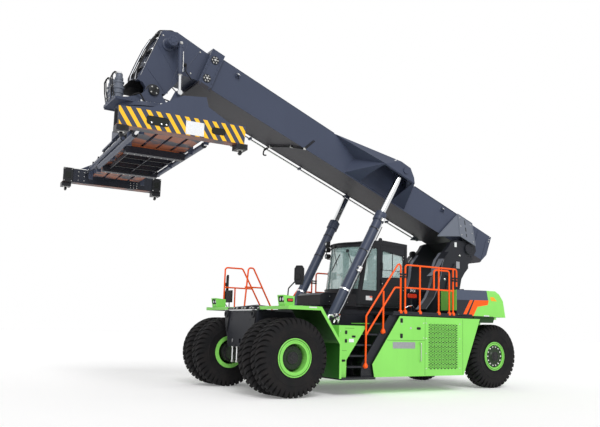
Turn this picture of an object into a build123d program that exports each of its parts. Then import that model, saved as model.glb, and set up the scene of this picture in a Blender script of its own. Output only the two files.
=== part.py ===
"""Reach stacker: a wheeled container handler with a telescopic boom and a 20 ft to 40 ft spreader.

Millimetres, +Z up, +X forward, +Y to the machine's left. The origin is on the ground,
under the middle of the drive axle.
"""

import os
from math import cos, hypot, radians, sin, sqrt

from build123d import *

# ---------------------------------------------------------------- driving dimensions

WHEELBASE = 6480
TYRE_RADIUS = 830
BEAD_RADIUS = 330
RIM_FLANGE_RADIUS = 388
FRONT_TYRES_Y = (1220, 1800)  # inner and outer tyre of a twin
REAR_TYRE_Y = 1330
KINGPIN_Y = 980

SIDE_Y = 1956  # outer face of the side boxes
STAIR_Y = (1160, 1895)  # inner and outer face of the stairs and the front cabinets
RAIL_Y = 1925  # middle plane of the handrails
FENDER_Y = 2044  # outer face of the front fenders
DECK_Z = 1840  # top of the walkway plates
FRAME_Y = (500, 740)  # inner and outer face of a frame rail
SPINE_Y = 340  # half width of the frame between the steered wheels

PIVOT = (-6450, 3750)  # boom pivot, X and Z
BOOM_ANGLE = 20.38
BOOM_HALF_WIDTH = 504
BOOM_DEPTH = 817
BOOM_WALL = 22
COLLAR_U = (8500, 8820)  # band round the front end of the base boom, along the boom
INNER_HALF_WIDTH = 420
INNER_V = (50, 776)  # underside and top of the inner boom
INNER_REAR_U = 1000
YOKE_PIN = (9597, -728)  # along and above the boom's underside line

LIFT_BASE = (-1530, 945, 1531)  # foot pin of the left lift cylinder
LIFT_TOP = (-3640, 1055, 5480)  # rod pin of the left lift cylinder
LIFT_BARREL = 3180  # foot pin to the end of the gland
LIFT_RADIUS = 120
LIFT_ROD_RADIUS = 84
LIFT_EAR_Y = 1225  # outer face of the boom's ear for the lift cylinder

DAMPER_TOP = (2300, 7550)  # X and Z of the swing dampers' upper pin
DAMPER_FOOT = (2270, 6440)  # X and Z of their rod eye
DAMPER_Y = 610
DAMPER_LUG_Y = (500, 548)
DAMPER_BARREL = 710
DAMPER_RADIUS = 55
DAMPER_PIN_RADIUS = 30
YOKE_EAR_Y = (430, 480)

SPREADER_CENTRE = (2705, -299)  # plan position of the spreader's middle
SPREADER_TURN = -4.31  # degrees about Z
TWIST_X = 2259 / 2  # half of the corner spacing across a container
TWIST_Y = 5853 / 2  # half of the corner spacing along a 20 ft container
TWIST_TIP_Z = 4708
HOUSING_Z = 4800  # underside of the corner housings

CAB_REAR = -4110
CAB_FRONT = -2245  # middle of the bowed front, at the window sill
CAB_BOW_RADIUS = 937.5
CAB_LEAN = 205  # how far the front leans back from the sill to the roof
CAB_HALF_WIDTH = 750
CAB_FLOOR_Z, CAB_SILL_Z, CAB_ROOF_Z = 2060, 2400, 3660


# ---------------------------------------------------------------- helpers

def block(x, y, z):
    """Box from three (low, high) pairs."""
    size = (x[1] - x[0], y[1] - y[0], z[1] - z[0])
    return Pos((x[0] + x[1]) / 2, (y[0] + y[1]) / 2, (z[0] + z[1]) / 2) * Box(*size)


def side_plate(points, y):
    """Plate with an outline of (x, z) points, from y[0] to y[1]."""
    face = make_face(Polyline([(px, y[0], pz) for px, pz in points], close=True))
    return extrude(face, amount=y[1] - y[0], dir=(0, 1, 0))


def plan_plate(points, z):
    """Plate with an outline of (x, y) points, from z[0] to z[1]."""
    face = make_face(Polyline([(px, py, z[0]) for px, py in points], close=True))
    return extrude(face, amount=z[1] - z[0], dir=(0, 0, 1))


def front_plate_shape(points, x):
    """Plate with an outline of (y, z) points, from x[0] to x[1]."""
    face = make_face(Polyline([(x[0], py, pz) for py, pz in points], close=True))
    return extrude(face, amount=x[1] - x[0], dir=(1, 0, 0))


def rod(a, b, radius):
    """Round bar between two points."""
    start, end = Vector(*a), Vector(*b)
    plane = Plane(origin=start, z_dir=end - start)
    return plane * extrude(Circle(radius), amount=(end - start).length)


def cross_bar(x, z, y, radius):
    """Round bar along Y from y[0] to y[1]."""
    return rod((x, y[0], z), (x, y[1], z), radius)


def revolve_y(points, y):
    """Ring turned about a line along Y; points are (radius, offset from y)."""
    face = make_face(Polyline([(r, y + t, 0) for r, t in points], close=True))
    return revolve(face, axis=Axis.Y)


def bent_tube(points, radius, bend=70):
    """Tube along straight runs with rounded corners."""
    path = FilletPolyline(*points, radius=bend) if len(points) > 2 else Line(*points)
    start = Plane(origin=path @ 0, z_dir=path % 0)
    return sweep(start * Circle(radius), path=path)


def mirrored(shape):
    """The shape and its mirror image across the machine's middle plane."""
    return shape + mirror(shape, about=Plane.XZ)


def other_side(shape):
    return mirror(shape, about=Plane.XZ)


def faceted(corners, faces):
    """Solid with flat faces, from a list of corners and lists of corner numbers."""
    sides = [make_face(Polyline([corners[i] for i in face], close=True)) for face in faces]
    return Solid(Shell(sides))


def on_boom(u, v):
    """X and Z of a point u along the boom's underside line and v above it."""
    a = radians(BOOM_ANGLE)
    return PIVOT[0] + u * cos(a) - v * sin(a), PIVOT[1] + u * sin(a) + v * cos(a)


def boom_plate(points, y):
    return side_plate([on_boom(u, v) for u, v in points], y)


def boom_box(u, v, y):
    return boom_plate([(u[0], v[0]), (u[1], v[0]), (u[1], v[1]), (u[0], v[1])], y)


# ---------------------------------------------------------------- chassis

def chassis_frame():
    inner, outer = FRAME_Y
    # rail side view: deep between the axles, raised over the drive axle
    rail = [(220, 1062), (220, 1800), (-5350, 1800), (-5350, 1240), (-4850, 620),
            (-1150, 620), (-620, 1062)]
    frame = mirrored(side_plate(rail, (inner, outer)))
    for x in ((-1500, -1380), (-3300, -3180), (-4700, -4580)):
        frame += block(x, (-inner, inner), (700, 1760))
    frame += block((-5350, -4700), (-inner, inner), (1240, 1800))
    # spine over the steer axle, with the brackets that hold the axle's pivot
    frame += block((-7000, -5300), (-SPINE_Y, SPINE_Y), (1240, 1800))
    for x in ((-6260, -6180), (-6780, -6700)):
        frame += block(x, (-170, 170), (760, 1260))
    frame -= Pos(-WHEELBASE, 0, 900) * Rot(0, 90, 0) * Cylinder(106, 800)
    # outriggers that carry the side boxes
    for x in ((-2700, -2560), (-4600, -4460)):
        frame += mirrored(block(x, (outer, 960), (760, 960)))
    # foot brackets of the lift cylinders: an outer lug on a gusset under the pin
    x0, y0, z0 = LIFT_BASE
    lug = side_plate([(x0 - 260, 1180), (x0 + 240, 1180), (x0 + 170, z0 + 60),
                      (x0 + 60, z0 + 180), (x0 - 60, z0 + 180), (x0 - 190, z0 + 60)],
                     (y0 + 150, y0 + 200))
    lug += block((x0 - 260, x0 + 240), (outer, y0 + 200), (1100, 1190))
    lug += cross_bar(x0, z0, (outer - 20, y0 + 208), 62)
    return frame + mirrored(lug)


def front_plate():
    """Nose plate with a lashing eye in each top corner and a slot in the middle."""
    outline = [(-800, 1820), (800, 1820), (800, 1500), (620, 1150), (600, 980),
               (-600, 980), (-620, 1150), (-800, 1500)]
    plate = front_plate_shape(outline, (222, 262))
    for y in (-665, 665):
        plate += rod((262, y, 1735), (312, y, 1735), 78)
        plate -= rod((200, y, 1735), (400, y, 1735), 42)
        plate += front_plate_shape([(y - 90, 1640), (y + 90, 1640), (y + 20, 1420), (y - 20, 1420)],
                                   (262, 290))
    return plate - block((200, 300), (-45, 45), (1070, 1170))


def drive_axle():
    z = TYRE_RADIUS
    axle = cross_bar(0, z, (-960, 960), 190)
    axle += Pos(0, 0, z) * Sphere(250)
    axle += Pos(-330, 0, z) * Rot(0, 90, 0) * Cylinder(150, 420)
    axle += mirrored(block((-200, 200), (FRAME_Y[0] + 30, FRAME_Y[1] - 30), (z + 120, 1060)))
    axle += mirrored(cross_bar(0, z, (900, 1030), 235))
    return axle


def steer_axle():
    x = -WHEELBASE
    beam = [(-870, 760), (-640, 700), (640, 700), (870, 760), (870, 900), (640, 1010),
            (-640, 1010), (-870, 900)]
    axle = front_plate_shape(beam, (x - 150, x + 150))
    axle += Pos(x, 0, 900) * Rot(0, 90, 0) * Cylinder(105, 640)
    for z in ((700, 762), (898, 960)):
        fork = plan_plate([(x - 110, 860), (x + 110, 860), (x + 75, KINGPIN_Y + 20),
                           (x - 75, KINGPIN_Y + 20)], z)
        axle += mirrored(fork)
    return axle


def steering_knuckle():
    """Left knuckle: kingpin boss, spindle and steering arm."""
    x, z = -WHEELBASE, TYRE_RADIUS
    knuckle = Pos(x, KINGPIN_Y, z) * Cylinder(70, 124)
    knuckle += rod((x, KINGPIN_Y, z), (x, REAR_TYRE_Y + 90, z), 60)
    knuckle += rod((x, KINGPIN_Y + 95, z), (x, KINGPIN_Y + 190, z), 130)
    return knuckle


# tyre section: (radius, offset across the tread from the middle)
TYRE_SECTION = ((BEAD_RADIUS + 2, -175), (BEAD_RADIUS + 60, -205), (560, -250), (690, -246),
                (770, -225), (TYRE_RADIUS - 12, -190), (TYRE_RADIUS, -150),
                (TYRE_RADIUS, 150), (TYRE_RADIUS - 12, 190), (770, 225), (690, 246),
                (560, 250), (BEAD_RADIUS + 60, 205), (BEAD_RADIUS + 2, 175))


def tyre(x, y):
    return Pos(x, 0, TYRE_RADIUS) * revolve_y(TYRE_SECTION, y)


def rim(x, y, outward, disc_offset, disc_hole):
    """Wheel rim: barrel with a flange each side and a dished disc."""
    s = outward
    # (radius, offset from the tyre's middle, positive outward)
    barrel = ((BEAD_RADIUS - 34, -215), (RIM_FLANGE_RADIUS, -215), (RIM_FLANGE_RADIUS, -207),
              (BEAD_RADIUS, -175), (BEAD_RADIUS, 175), (RIM_FLANGE_RADIUS, 207),
              (RIM_FLANGE_RADIUS, 222), (BEAD_RADIUS - 34, 222))
    disc = ((disc_hole, disc_offset - 16), (BEAD_RADIUS - 10, disc_offset - 16),
            (BEAD_RADIUS - 10, disc_offset + 16), (disc_hole, disc_offset + 16))
    parts = [revolve_y([(r, s * t) for r, t in outline], y) for outline in (barrel, disc)]
    return Pos(x, 0, TYRE_RADIUS) * (parts[0] + parts[1])


def front_tyres():
    return Compound(children=[tyre(0, y) for y in FRONT_TYRES_Y])


def front_rims():
    """The twin rims of the left front wheel, joined by the hub that they bolt to."""
    inner, outer = FRONT_TYRES_Y
    wheel = rim(0, inner, 1, 190, 200) + rim(0, outer, 1, -25, 200)
    # (radius, Y)
    hub = ((196, 1045), (230, 1045), (230, 1880), (250, 1890), (250, 1908), (236, 1922), (150, 1922),
           (140, 1936), (0, 1936), (0, 1075), (196, 1075))
    return wheel + Pos(0, 0, TYRE_RADIUS) * revolve_y(hub, 0)


def rear_rim():
    """Left rear rim with its hub; the hub is hollow where the spindle enters."""
    x, y = -WHEELBASE, REAR_TYRE_Y
    wheel = rim(x, y, 1, 189, 120)
    # (radius, offset from the tyre's middle)
    hub = ((72, -140), (175, -140), (175, 200), (130, 233), (0, 233), (0, 105), (72, 105))
    return wheel + Pos(x, 0, TYRE_RADIUS) * revolve_y(hub, y)


# ---------------------------------------------------------------- boom support and rear body

def boom_support():
    """Two leaning towers that hold the boom's pivot pin, with a cross box at their foot."""
    px, pz = PIVOT
    # (x, z) of a tower's front edge, from the deck upward, and of the rest of its outline
    front = [(-4660, 1800), (-4700, 2010), (-4850, 2170), (-4990, 2330), (-5090, 2520), (-5180, 2740),
             (-5240, 2950), (-5270, 3200), (-5340, 3370), (-5530, 3590), (-5700, 3760)]
    head = [(-5790, 3900), (-5960, 3960), (-6180, 3960), (-6340, 4010), (-6560, 4010), (-6720, 3930),
            (-6760, 3720), (-6660, 3580), (-6400, 3540), (-6250, 3460), (-6220, 3300), (-6200, 2950),
            (-6120, 2610), (-5960, 1800)]
    inner, outer, lip = 522, 640, 830
    tower = side_plate(front + head, (inner, outer))
    # outer flange along the front edge, and one along the rear edge of the foot
    behind = [(x - 22, z - 14) for x, z in reversed(front[1:9])]
    tower += side_plate(front[1:9] + behind, (outer - 5, lip))
    tower += side_plate([(-6120, 2610), (-5960, 1800), (-5912, 1800), (-6072, 2610)], (outer - 5, 800))
    # flared wing that turns forward from the front flange
    wing = [(-5340, 3370), (-5230, 3190), (-5070, 3000), (-4890, 2870), (-4885, 2890), (-5055, 3018),
            (-5212, 3200), (-5325, 3385)]
    tower += side_plate(wing, (outer - 5, lip))
    tower += cross_bar(px, pz, (outer - 4, outer + 32), 150)
    towers = mirrored(tower)
    # hose tray behind the left tower
    towers += side_plate([(-6240, 3560), (-6640, 3500), (-6450, 3320), (-6450, 3210), (-6310, 3070),
                          (-6190, 2900), (-6190, 3300)], (inner + 8, outer))
    towers += side_plate([(-5500, 1800), (-5560, 2300), (-5700, 2560), (-5960, 2560),
                          (-5960, 1800)], (-inner - 8, inner + 8))
    towers += cross_bar(px, pz, (-outer - 20, outer + 20), 90)
    return towers


def counterweight():
    """Cast weight behind and between the rear wheels."""
    half = [(-6100, 860), (-6480, 860), (-6480, 1290), (-6850, 1270), (-7090, 1070), (-7250, 780)]
    weight = plan_plate(half + [(x, -y) for x, y in reversed(half)], (1802, 2440))
    weight += plan_plate([(-7003, 330), (-7250, 330), (-7250, -330), (-7003, -330)], (900, 1810))
    # towing jaw with the hole of its drop pin
    jaw = block((-7260, -7150), (-120, 120), (1180, 1300))
    drop_pin = Pos(-7200, 0, 1240) * Cylinder(30, 500)
    return weight - jaw - drop_pin


def rear_hood():
    """Left and right rear hoods over the steered wheels, each with a mudguard below."""
    outline = [(-4700, DECK_Z + 5), (-4700, 2490), (-6160, 2520), (-6370, 2265), (-6460, 1842),
               (-5250, 1842)]
    hood = side_plate(outline, (880, SIDE_Y - 4)) - block((-5240, -4600), (800, 1390), (1800, 2600))
    # the slanted facet along the outer top edge
    corner = Plane(origin=(-6160, SIDE_Y, 2520), z_dir=(0, 0.75, 0.66))
    hood -= corner * Pos(0, 0, -60) * Box(4000, 600, 400, align=(Align.CENTER, Align.CENTER, Align.MIN))
    hood += side_plate([(-5620, 1845), (-5700, 1700), (-6330, 1700), (-6400, 1845)], (1000, 1640))
    return mirrored(hood)


def side_box():
    """Left battery box between the axles, recessed behind its grille."""
    outline = [(-2870, 1780), (-5510, 1780), (-4930, 394), (-2140, 394), (-2080, 680)]
    box = side_plate(outline, (962, SIDE_Y))
    return box - block((-4730, -3760), (SIDE_Y - 60, SIDE_Y + 10), (540, 1630))


def cooling_grille():
    grille = block((-4724, -3766), (SIDE_Y - 24, SIDE_Y - 6), (546, 1624))
    slots = [block((-4700, -3790), (SIDE_Y - 30, SIDE_Y), (z, z + 60)) for z in range(580, 1560, 105)]
    for slot in slots:
        grille -= slot
    return grille


def front_cabinet():
    """Small cabinet between the front fender and the stairs."""
    outline = [(-1190, 402), (-1190, 1530), (-1950, 1530), (-1405, 780), (-1400, 402)]
    return side_plate(outline, STAIR_Y)


def stairs():
    """A sill step and five treads between two stringers, beside the left battery box."""
    # side view of a stringer; its rear edge runs 12 in front of the battery box
    stringer = [(-2866, 1796), (-2620, 1796), (-1830, 690), (-1810, 400), (-2126, 400), (-2066, 682)]
    inner, outer = STAIR_Y
    flight = side_plate(stringer, (outer - 26, outer)) + side_plate(stringer, (inner, inner + 26))
    rise, first, depth = 240, 640, 400
    for number in range(5):
        z = first + number * rise
        front = -1440 - 0.727 * max(0, z - 780)
        flight += block((front - depth, front), STAIR_Y, (z - 36, z))
    flight += block((-2126, -1190), (inner, SIDE_Y + 60), (352, 400))
    return flight


def deck():
    """Walkway plates over the side boxes and the frame."""
    side = block((-5560, -2660), (880, SIDE_Y), (DECK_Z - 42, DECK_Z))
    side -= block((-5700, -5250), (800, 2100), (1700, 1900))
    plates = mirrored(side)
    plates += block((-4640, -1000), (-FRAME_Y[1], FRAME_Y[1]), (1804, 1880))
    return plates


def front_fender():
    """Left front mudguard: flat top, slanted rear and a vertical skirt."""
    skin, lip = 14, 90
    top, bottom = 1905, 385
    line = [(205, top), (-630, top), (-1170, 1135), (-1170, bottom)]
    inner = [(-1170 + skin, bottom), (-1170 + skin, 1138), (-625, top - skin), (205, top - skin)]
    fender = side_plate(line + inner, (760, FENDER_Y))
    rim_line = [(-1170 + lip * 0.55, bottom), (-1170 + lip * 0.55, 1118), (-600, top - lip * 0.8),
                (205, top - lip * 0.8)]
    fender += side_plate(line + rim_line, (FENDER_Y - 16, FENDER_Y))
    fender += side_plate([(205, top), (205, top - 72), (190, top - 72), (190, top)], (810, FENDER_Y))
    return fender


def headlamp():
    """Left lamp housing on the fender, open at the front over two lamps."""
    housing = side_plate([(-85, 1906), (-85, 2115), (195, 2135), (150, 1906)], (1540, 1800))
    housing -= block((130, 240), (1560, 1780), (1985, 2110))
    for y in (1616, 1724):
        housing += Pos(128, y, 2048) * Rot(0, 90, 0) * Cylinder(44, 50)
    return housing


def driving_mirror(x, y, turn):
    """Shell of a driving mirror, turned about its upright axis."""
    # (half width, height), narrower at the foot
    shell = [(-70, 2358), (70, 2358), (105, 2460), (105, 2700), (60, 2769), (-60, 2769), (-105, 2700),
             (-105, 2460)]
    return Pos(x, y, 0) * Rot(0, 0, turn) * front_plate_shape(shell, (-28, 28))


def mirrors():
    """Driving mirrors on the front fenders, with a wide-angle mirror low on the right one."""
    left = driving_mirror(-120, 1900, 35)
    left += bent_tube([(-60, 1552, 2122), (-70, 1555, 2290), (-110, 1880, 2500)], 14, bend=60)
    right = driving_mirror(-336, -1990, -26)
    right += bent_tube([(-276, -1990, 1907), (-276, -1990, 2300), (-321, -1990, 2450)], 14, bend=60)
    right += block((-320, -280), (-1980, -1640), (2050, 2360))
    return left + right + rod((-300, -1780, 1907), (-300, -1780, 2100), 14)


# ---------------------------------------------------------------- handrails

def rail_tube(*points):
    return bent_tube(points, 21)


def side_handrails():
    """Left walkway rails, with the stair rail and the rear gate."""
    y, foot, top, middle = RAIL_Y, DECK_Z + 2, 2990, 2450
    rails = rail_tube((-3050, y, foot), (-3050, y, top), (-4720, y, top), (-4720, y, 2560))
    rails += rod((-3050, y, middle), (-4600, y, middle), 20)
    for x in (-3510, -4120, -4600):
        rails += rod((x, y, foot), (x, y, top), 21)
    rails += rail_tube((-3960, y, middle), (-3960, y, 2930), (-4470, y, 2930), (-4470, y, foot))
    rails += rail_tube((-2910, y, foot), (-2910, y, top), (-2830, y, top), (-1910, y, 1750),
                       (-1910, y, 650))
    rails += rail_tube((-2910, y, 2440), (-2740, y, 2440), (-1910, y, 1320))
    rails += rod((-2400, y, 2340), (-2400, y, 1430), 21)
    for x, z in ((-2910, foot), (-3050, foot), (-3510, foot), (-4120, foot), (-4600, foot),
                 (-4470, foot), (-1910, 620), (-2400, 1400)):
        rails += Pos(x, y, z) * Cylinder(29, 60, align=(Align.CENTER, Align.CENTER, Align.MIN))
    return rails


def fender_handrails():
    """Two hoops between the right front fender and the cabinet behind it."""
    fender, cabinet, middle = 1908, 1544, 2435
    hoops = None
    # (y, front foot, top front, top rear, rear foot), all X
    for y, foot, front, rear, end, top in ((-1860, -180, -190, -690, -1520, 2948),
                                           (-1200, -440, -520, -660, -1437, 2924)):
        hoop = rail_tube((foot, y, fender), (front, y, top), (rear, y, top), (end, y, cabinet))
        slope = rear + (end - rear) * (top - middle) / (top - cabinet)
        hoop += rod((foot, y, middle), (slope, y, middle), 19)
        hoops = hoop if hoops is None else hoops + hoop
    return hoops + rod((-492, -1860, fender), (-492, -1860, middle), 19)


def handrails():
    return mirrored(side_handrails()) + fender_handrails()


# ---------------------------------------------------------------- cab

def cab_base():
    """Platform that slides on the rails, with the equipment box ahead of the windscreen."""
    base = extrude(cab_plan(20, 0, 1996), amount=CAB_FLOOR_Z - 1996)
    box = side_plate([(-2540, 2000), (-1470, 2000), (-1470, 2240), (-1600, 2300), (-2540, 2300)],
                     (-350, 690))
    box -= extrude(cab_plan(-9, 0, 2050), amount=300)
    return base + box


def cab_rails():
    """Two rails under the cab on the middle deck."""
    rail = block((-4300, -1100), (520, 640), (1882, 1990))
    rail -= block((-4200, -1200), (600, 660), (1915, 1960))
    return mirrored(rail)


def cab_plan(inset, lean, z):
    """Plan of the cab at a height, drawn inwards by inset; the front is an arc that leans back."""
    w, radius = CAB_HALF_WIDTH - inset, CAB_BOW_RADIUS - inset
    rear, middle = CAB_REAR + inset, CAB_FRONT - CAB_BOW_RADIUS - lean
    corner = middle + sqrt(radius * radius - w * w)
    back = Polyline((corner, w, z), (rear, w, z), (rear, -w, z), (corner, -w, z))
    return make_face([*back.edges(), ThreePointArc((corner, -w, z), (middle + radius, 0, z), (corner, w, z))])


def cab_body(inset):
    """The cab's outer form as one solid, drawn inwards by inset."""
    floor, sill, top = CAB_FLOOR_Z + 4, CAB_SILL_Z, CAB_ROOF_Z + 60
    body = extrude(cab_plan(inset, 0, floor), amount=sill - floor)
    body += loft([cab_plan(inset, 0, sill), cab_plan(inset, CAB_LEAN, top)], ruled=True)
    # side view between the floor and the crowned roof
    side = [(CAB_REAR, floor + inset), (CAB_FRONT, floor + inset), (CAB_FRONT, 3585 - inset),
            (-3300, 3705 - inset), (CAB_REAR, CAB_ROOF_Z - inset)]
    return body & side_plate(side, (-CAB_HALF_WIDTH, CAB_HALF_WIDTH))


def cab_windows(margin):
    """Solids that fill the window openings, each drawn inwards by margin."""
    w, m = CAB_HALF_WIDTH, margin
    front = block((-2700, CAB_FRONT), (-715 + m, 715 - m), (2440 + m, 3500 - m))
    side = side_plate([(-2660 - m, 2400 + m), (-2838 - m, 3500 - m), (-3135 + m, 3500 - m),
                       (-3135 + m, 2400 + m)], (-w, w))
    side -= block((-4000, -2000), (-w + 65, w - 65), (2000, 4000))
    rear = block((CAB_REAR, CAB_REAR + 64), (-w + 90 + m, w - 90 - m), (2700 + m, 3480 - m))
    roof = block((-3150 + m, -2720 - m), (-w + 160 + m, w - 160 - m), (3530, 3720))
    return front + side + rear + roof


def cab_shell():
    """Hollow cab: floor pan, pillars, roof, window openings and doorways."""
    w = CAB_HALF_WIDTH
    shell = cab_body(0) - cab_body(60) - cab_windows(0)
    return shell - block((-4040, -3230), (-w - 10, w + 10), (CAB_FLOOR_Z + 64, 3560))


def cab_glass():
    """Fixed panes: bowed windscreen, two front side windows, rear window and roof window."""
    return (cab_body(20) - cab_body(28)) & cab_windows(2)


def cab_door():
    """Left door, hinged at its rear edge, with its window cut."""
    w = CAB_HALF_WIDTH
    leaf = block((-4034, -3236), (w - 46, w - 4), (CAB_FLOOR_Z + 70, 3554))
    leaf -= side_plate([(-3990, 2787), (-3300, 2755), (-3300, 3440), (-3990, 3340)], (w - 80, w + 20))
    for z in (2500, 3300):
        leaf += block((-4034, -4010), (w - 10, w + 8), (z - 80, z + 80))
        leaf += Pos(-4022, w + 8, z) * Cylinder(12, 160)
    return leaf + block((-3290, -3262), (w - 6, w + 24), (2560, 2700))


def seat():
    cushion = block((-3600, -3090), (-250, 250), (2420, 2540))
    back = side_plate([(-3550, 2520), (-3630, 3180), (-3750, 3180), (-3680, 2420), (-3550, 2420)],
                      (-240, 240))
    pedestal = block((-3500, -3200), (-170, 170), (CAB_FLOOR_Z + 66, 2420))
    rest = block((-3550, -3130), (260, 340), (2620, 2690))
    rest += block((-3510, -3430), (248, 300), (2480, 2640))
    return cushion + back + pedestal + mirrored(rest)


def steering_console():
    foot, top = CAB_FLOOR_Z + 66, 2700
    column = side_plate([(-2600, foot), (-2510, foot), (-2660, top), (-2800, top)], (-110, 110))
    wheel = Torus(190, 16) + Box(50, 380, 16) + Pos(0, 0, -30) * Cylinder(45, 90)
    return column + Pos(-2760, 0, top + 70) * Rot(0, -25, 0) * wheel


# ---------------------------------------------------------------- boom

def base_boom():
    """Outer box of the boom, with the tail, the pivot tube, the collar and the lift brackets."""
    w, t = BOOM_HALF_WIDTH, BOOM_WALL
    outer = [(-262, -319), (520, 4), (8520, 4), (8520, BOOM_DEPTH), (-856, BOOM_DEPTH - 20), (-853, 231),
             (-674, -91)]
    boom = boom_plate(outer, (-w, w))
    boom -= boom_box((420, 9000), (4 + t, BOOM_DEPTH - t), (-w + t, w - t))
    boom -= boom_plate([(-830, 260), (-660, -60), (-250, -285), (380, 40), (380, 760), (-830, 760)],
                       (-w + t, w - t))
    # pivot tube across the tail
    x, z = on_boom(0, 0)
    boom += cross_bar(x, z, (-w, w), 190)
    boom -= cross_bar(x, z, (-w - 5, w + 5), 92)
    # collar
    u0, u1 = COLLAR_U
    collar = boom_box((u0, u1), (-80, 890), (-w - 55, w + 55))
    boom += collar - boom_box((u0 - 10, u1 + 10), (4 + t, BOOM_DEPTH - t), (-w + t, w - t))
    lug = boom_plate([(u0 + 40, 880), (u1, 880), (u1 - 60, 1010), (u1 - 170, 1010)], (-60, 60))
    return boom + lug + mirrored(lift_bracket())


def lift_bracket():
    """Left bracket: a folded plate box on the boom's side that ends in the cylinder's ear."""
    root, ear = BOOM_HALF_WIDTH - 4, LIFT_EAR_Y
    # (u, v, Y): five corners on the boom's side, then five round the ear
    corners = [(5130, 815, root), (4373, 536, root), (4520, 33, root), (2420, 42, root), (2330, 815, root),
               (3452, 797, ear), (3897, 496, ear), (2856, 480, ear), (2929, 611, ear), (3120, 786, ear)]
    faces = [(0, 1, 2, 3, 4), (5, 9, 8, 7, 6), (0, 5, 4), (5, 9, 4), (0, 1, 6), (0, 6, 5), (1, 2, 6),
             (2, 3, 7), (2, 7, 6), (3, 4, 9), (3, 9, 8), (3, 8, 7)]

    def shrunk(factor):
        points = [(3400 + factor * (u - 3400), 400 + factor * (v - 400), root + factor * (y - root))
                  for u, v, y in corners]
        placed = [(x, y, z) for (x, z), y in ((on_boom(u, v), y) for u, v, y in points)]
        return faceted(placed, faces)

    bracket = shrunk(1) - shrunk(0.94)
    # room for the cylinder below, and a slot above it for the rod's eye when the boom is low
    bay = [(4000, 200), (3900, 450), (3740, 600), (3600, 775), (3140, 760), (2965, 600), (2900, 450),
           (2900, -100), (4000, -100)]
    bracket -= boom_plate(bay, (BOOM_HALF_WIDTH + 26, ear - 32))
    bracket -= boom_box((3160, 3600), (700, 1000), (ear - 290, ear - 50))
    u, v = LIFT_PIN_ON_BOOM
    x, z = on_boom(u, v)
    return bracket + cross_bar(x, z, (ear - 4, ear + 26), 80)


def local_on_boom(x, z):
    """The inverse of on_boom."""
    a = radians(BOOM_ANGLE)
    dx, dz = x - PIVOT[0], z - PIVOT[1]
    return dx * cos(a) + dz * sin(a), dz * cos(a) - dx * sin(a)


LIFT_PIN_ON_BOOM = local_on_boom(LIFT_TOP[0], LIFT_TOP[2])


def tail_cover():
    """Folded light guards that slope outwards over the towers' heads."""
    thickness = 15
    # (u, v, Y) on the outer side; the last corner ends the triangular panel
    outer = [(620, 820, 530), (20, 820, 530), (-140, 160, 740), (500, 160, 740), (1120, -120, 560)]
    corners = []
    for shift in (0, thickness):
        for u, v, y in outer:
            x, z = on_boom(u, v)
            corners.append((x, y - shift, z))
    faces = [(0, 1, 2, 3), (0, 3, 4), (5, 8, 7, 6), (5, 9, 8)]
    faces += [(a, (a + 1) % 5, (a + 1) % 5 + 5, a + 5) for a in range(5)]
    guard = faceted(corners, faces)
    guard += boom_plate([(60, 820), (600, 820), (600, 834), (60, 834)], (440, 530))
    return mirrored(guard)


def inner_boom():
    """Inner telescope box."""
    w, t = INNER_HALF_WIDTH, 18
    v0, v1 = INNER_V
    boom = boom_box((INNER_REAR_U, 8860), (v0, v1), (-w, w))
    return boom - boom_box((INNER_REAR_U - 10, 8800), (v0 + t, v1 - t), (-w + t, w - t))


def boom_head():
    """Head at the end of the inner boom: two cheeks, a front plate and a cross tube."""
    w = INNER_HALF_WIDTH
    outline = [(8862, 776), (9656, 808), (9945, 669), (9993, -667), (9326, -653), (9137, -12),
               (8862, 48)]
    head = boom_plate(outline, (-w, w))
    pocket = [(8900, 740), (9640, 770), (9880, 640), (9950, -700), (9370, -700), (9180, 20), (8900, 80)]
    head -= boom_plate(pocket, (-w + 60, w - 60))
    x, z = on_boom(9715, 423)
    head += cross_bar(x, z, (-700, 700), 102)
    # lugs on the cross tube, with the pins of the swing dampers
    dx, dz = DAMPER_TOP
    lug = side_plate([(dx - 60, dz - 70), (dx + 60, dz - 80), (x, z - 95), (x, z + 95), (dx - 20, dz + 75),
                      (dx - 60, dz + 40)], DAMPER_LUG_Y)
    lug += cross_bar(dx, dz, (DAMPER_LUG_Y[0] + 10, DAMPER_Y + 46), DAMPER_PIN_RADIUS)
    # ears below the cheeks, with the bore of the yoke's pin
    px, pz = on_boom(*YOKE_PIN)
    ear = boom_plate([(9340, -600), (9960, -600), (9768, -728), (9426, -728)], (w - 120, w))
    ear += cross_bar(px, pz, (w - 120, w), 170)
    head += mirrored(lug + ear)
    return head - cross_bar(px, pz, (-w - 5, w + 5), 81)


# ---------------------------------------------------------------- cylinders

def along(start, end, distance):
    """Point at a distance from start towards end."""
    step = (Vector(*end) - Vector(*start)).normalized() * distance
    return (start[0] + step.X, start[1] + step.Y, start[2] + step.Z)


def lift_barrel():
    """Left lift cylinder's barrel with its foot eye and gland."""
    a, b = LIFT_BASE, LIFT_TOP
    barrel = rod(along(a, b, 90), along(a, b, LIFT_BARREL), LIFT_RADIUS)
    barrel += rod(along(a, b, LIFT_BARREL - 230), along(a, b, LIFT_BARREL), LIFT_RADIUS + 25)
    barrel += cross_bar(a[0], a[2], (a[1] - 130, a[1] + 120), 150)
    barrel -= rod(along(a, b, 140), along(a, b, LIFT_BARREL + 10), LIFT_ROD_RADIUS + 8)
    return barrel - cross_bar(a[0], a[2], (a[1] - 200, a[1] + 200), 62.4)


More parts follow.
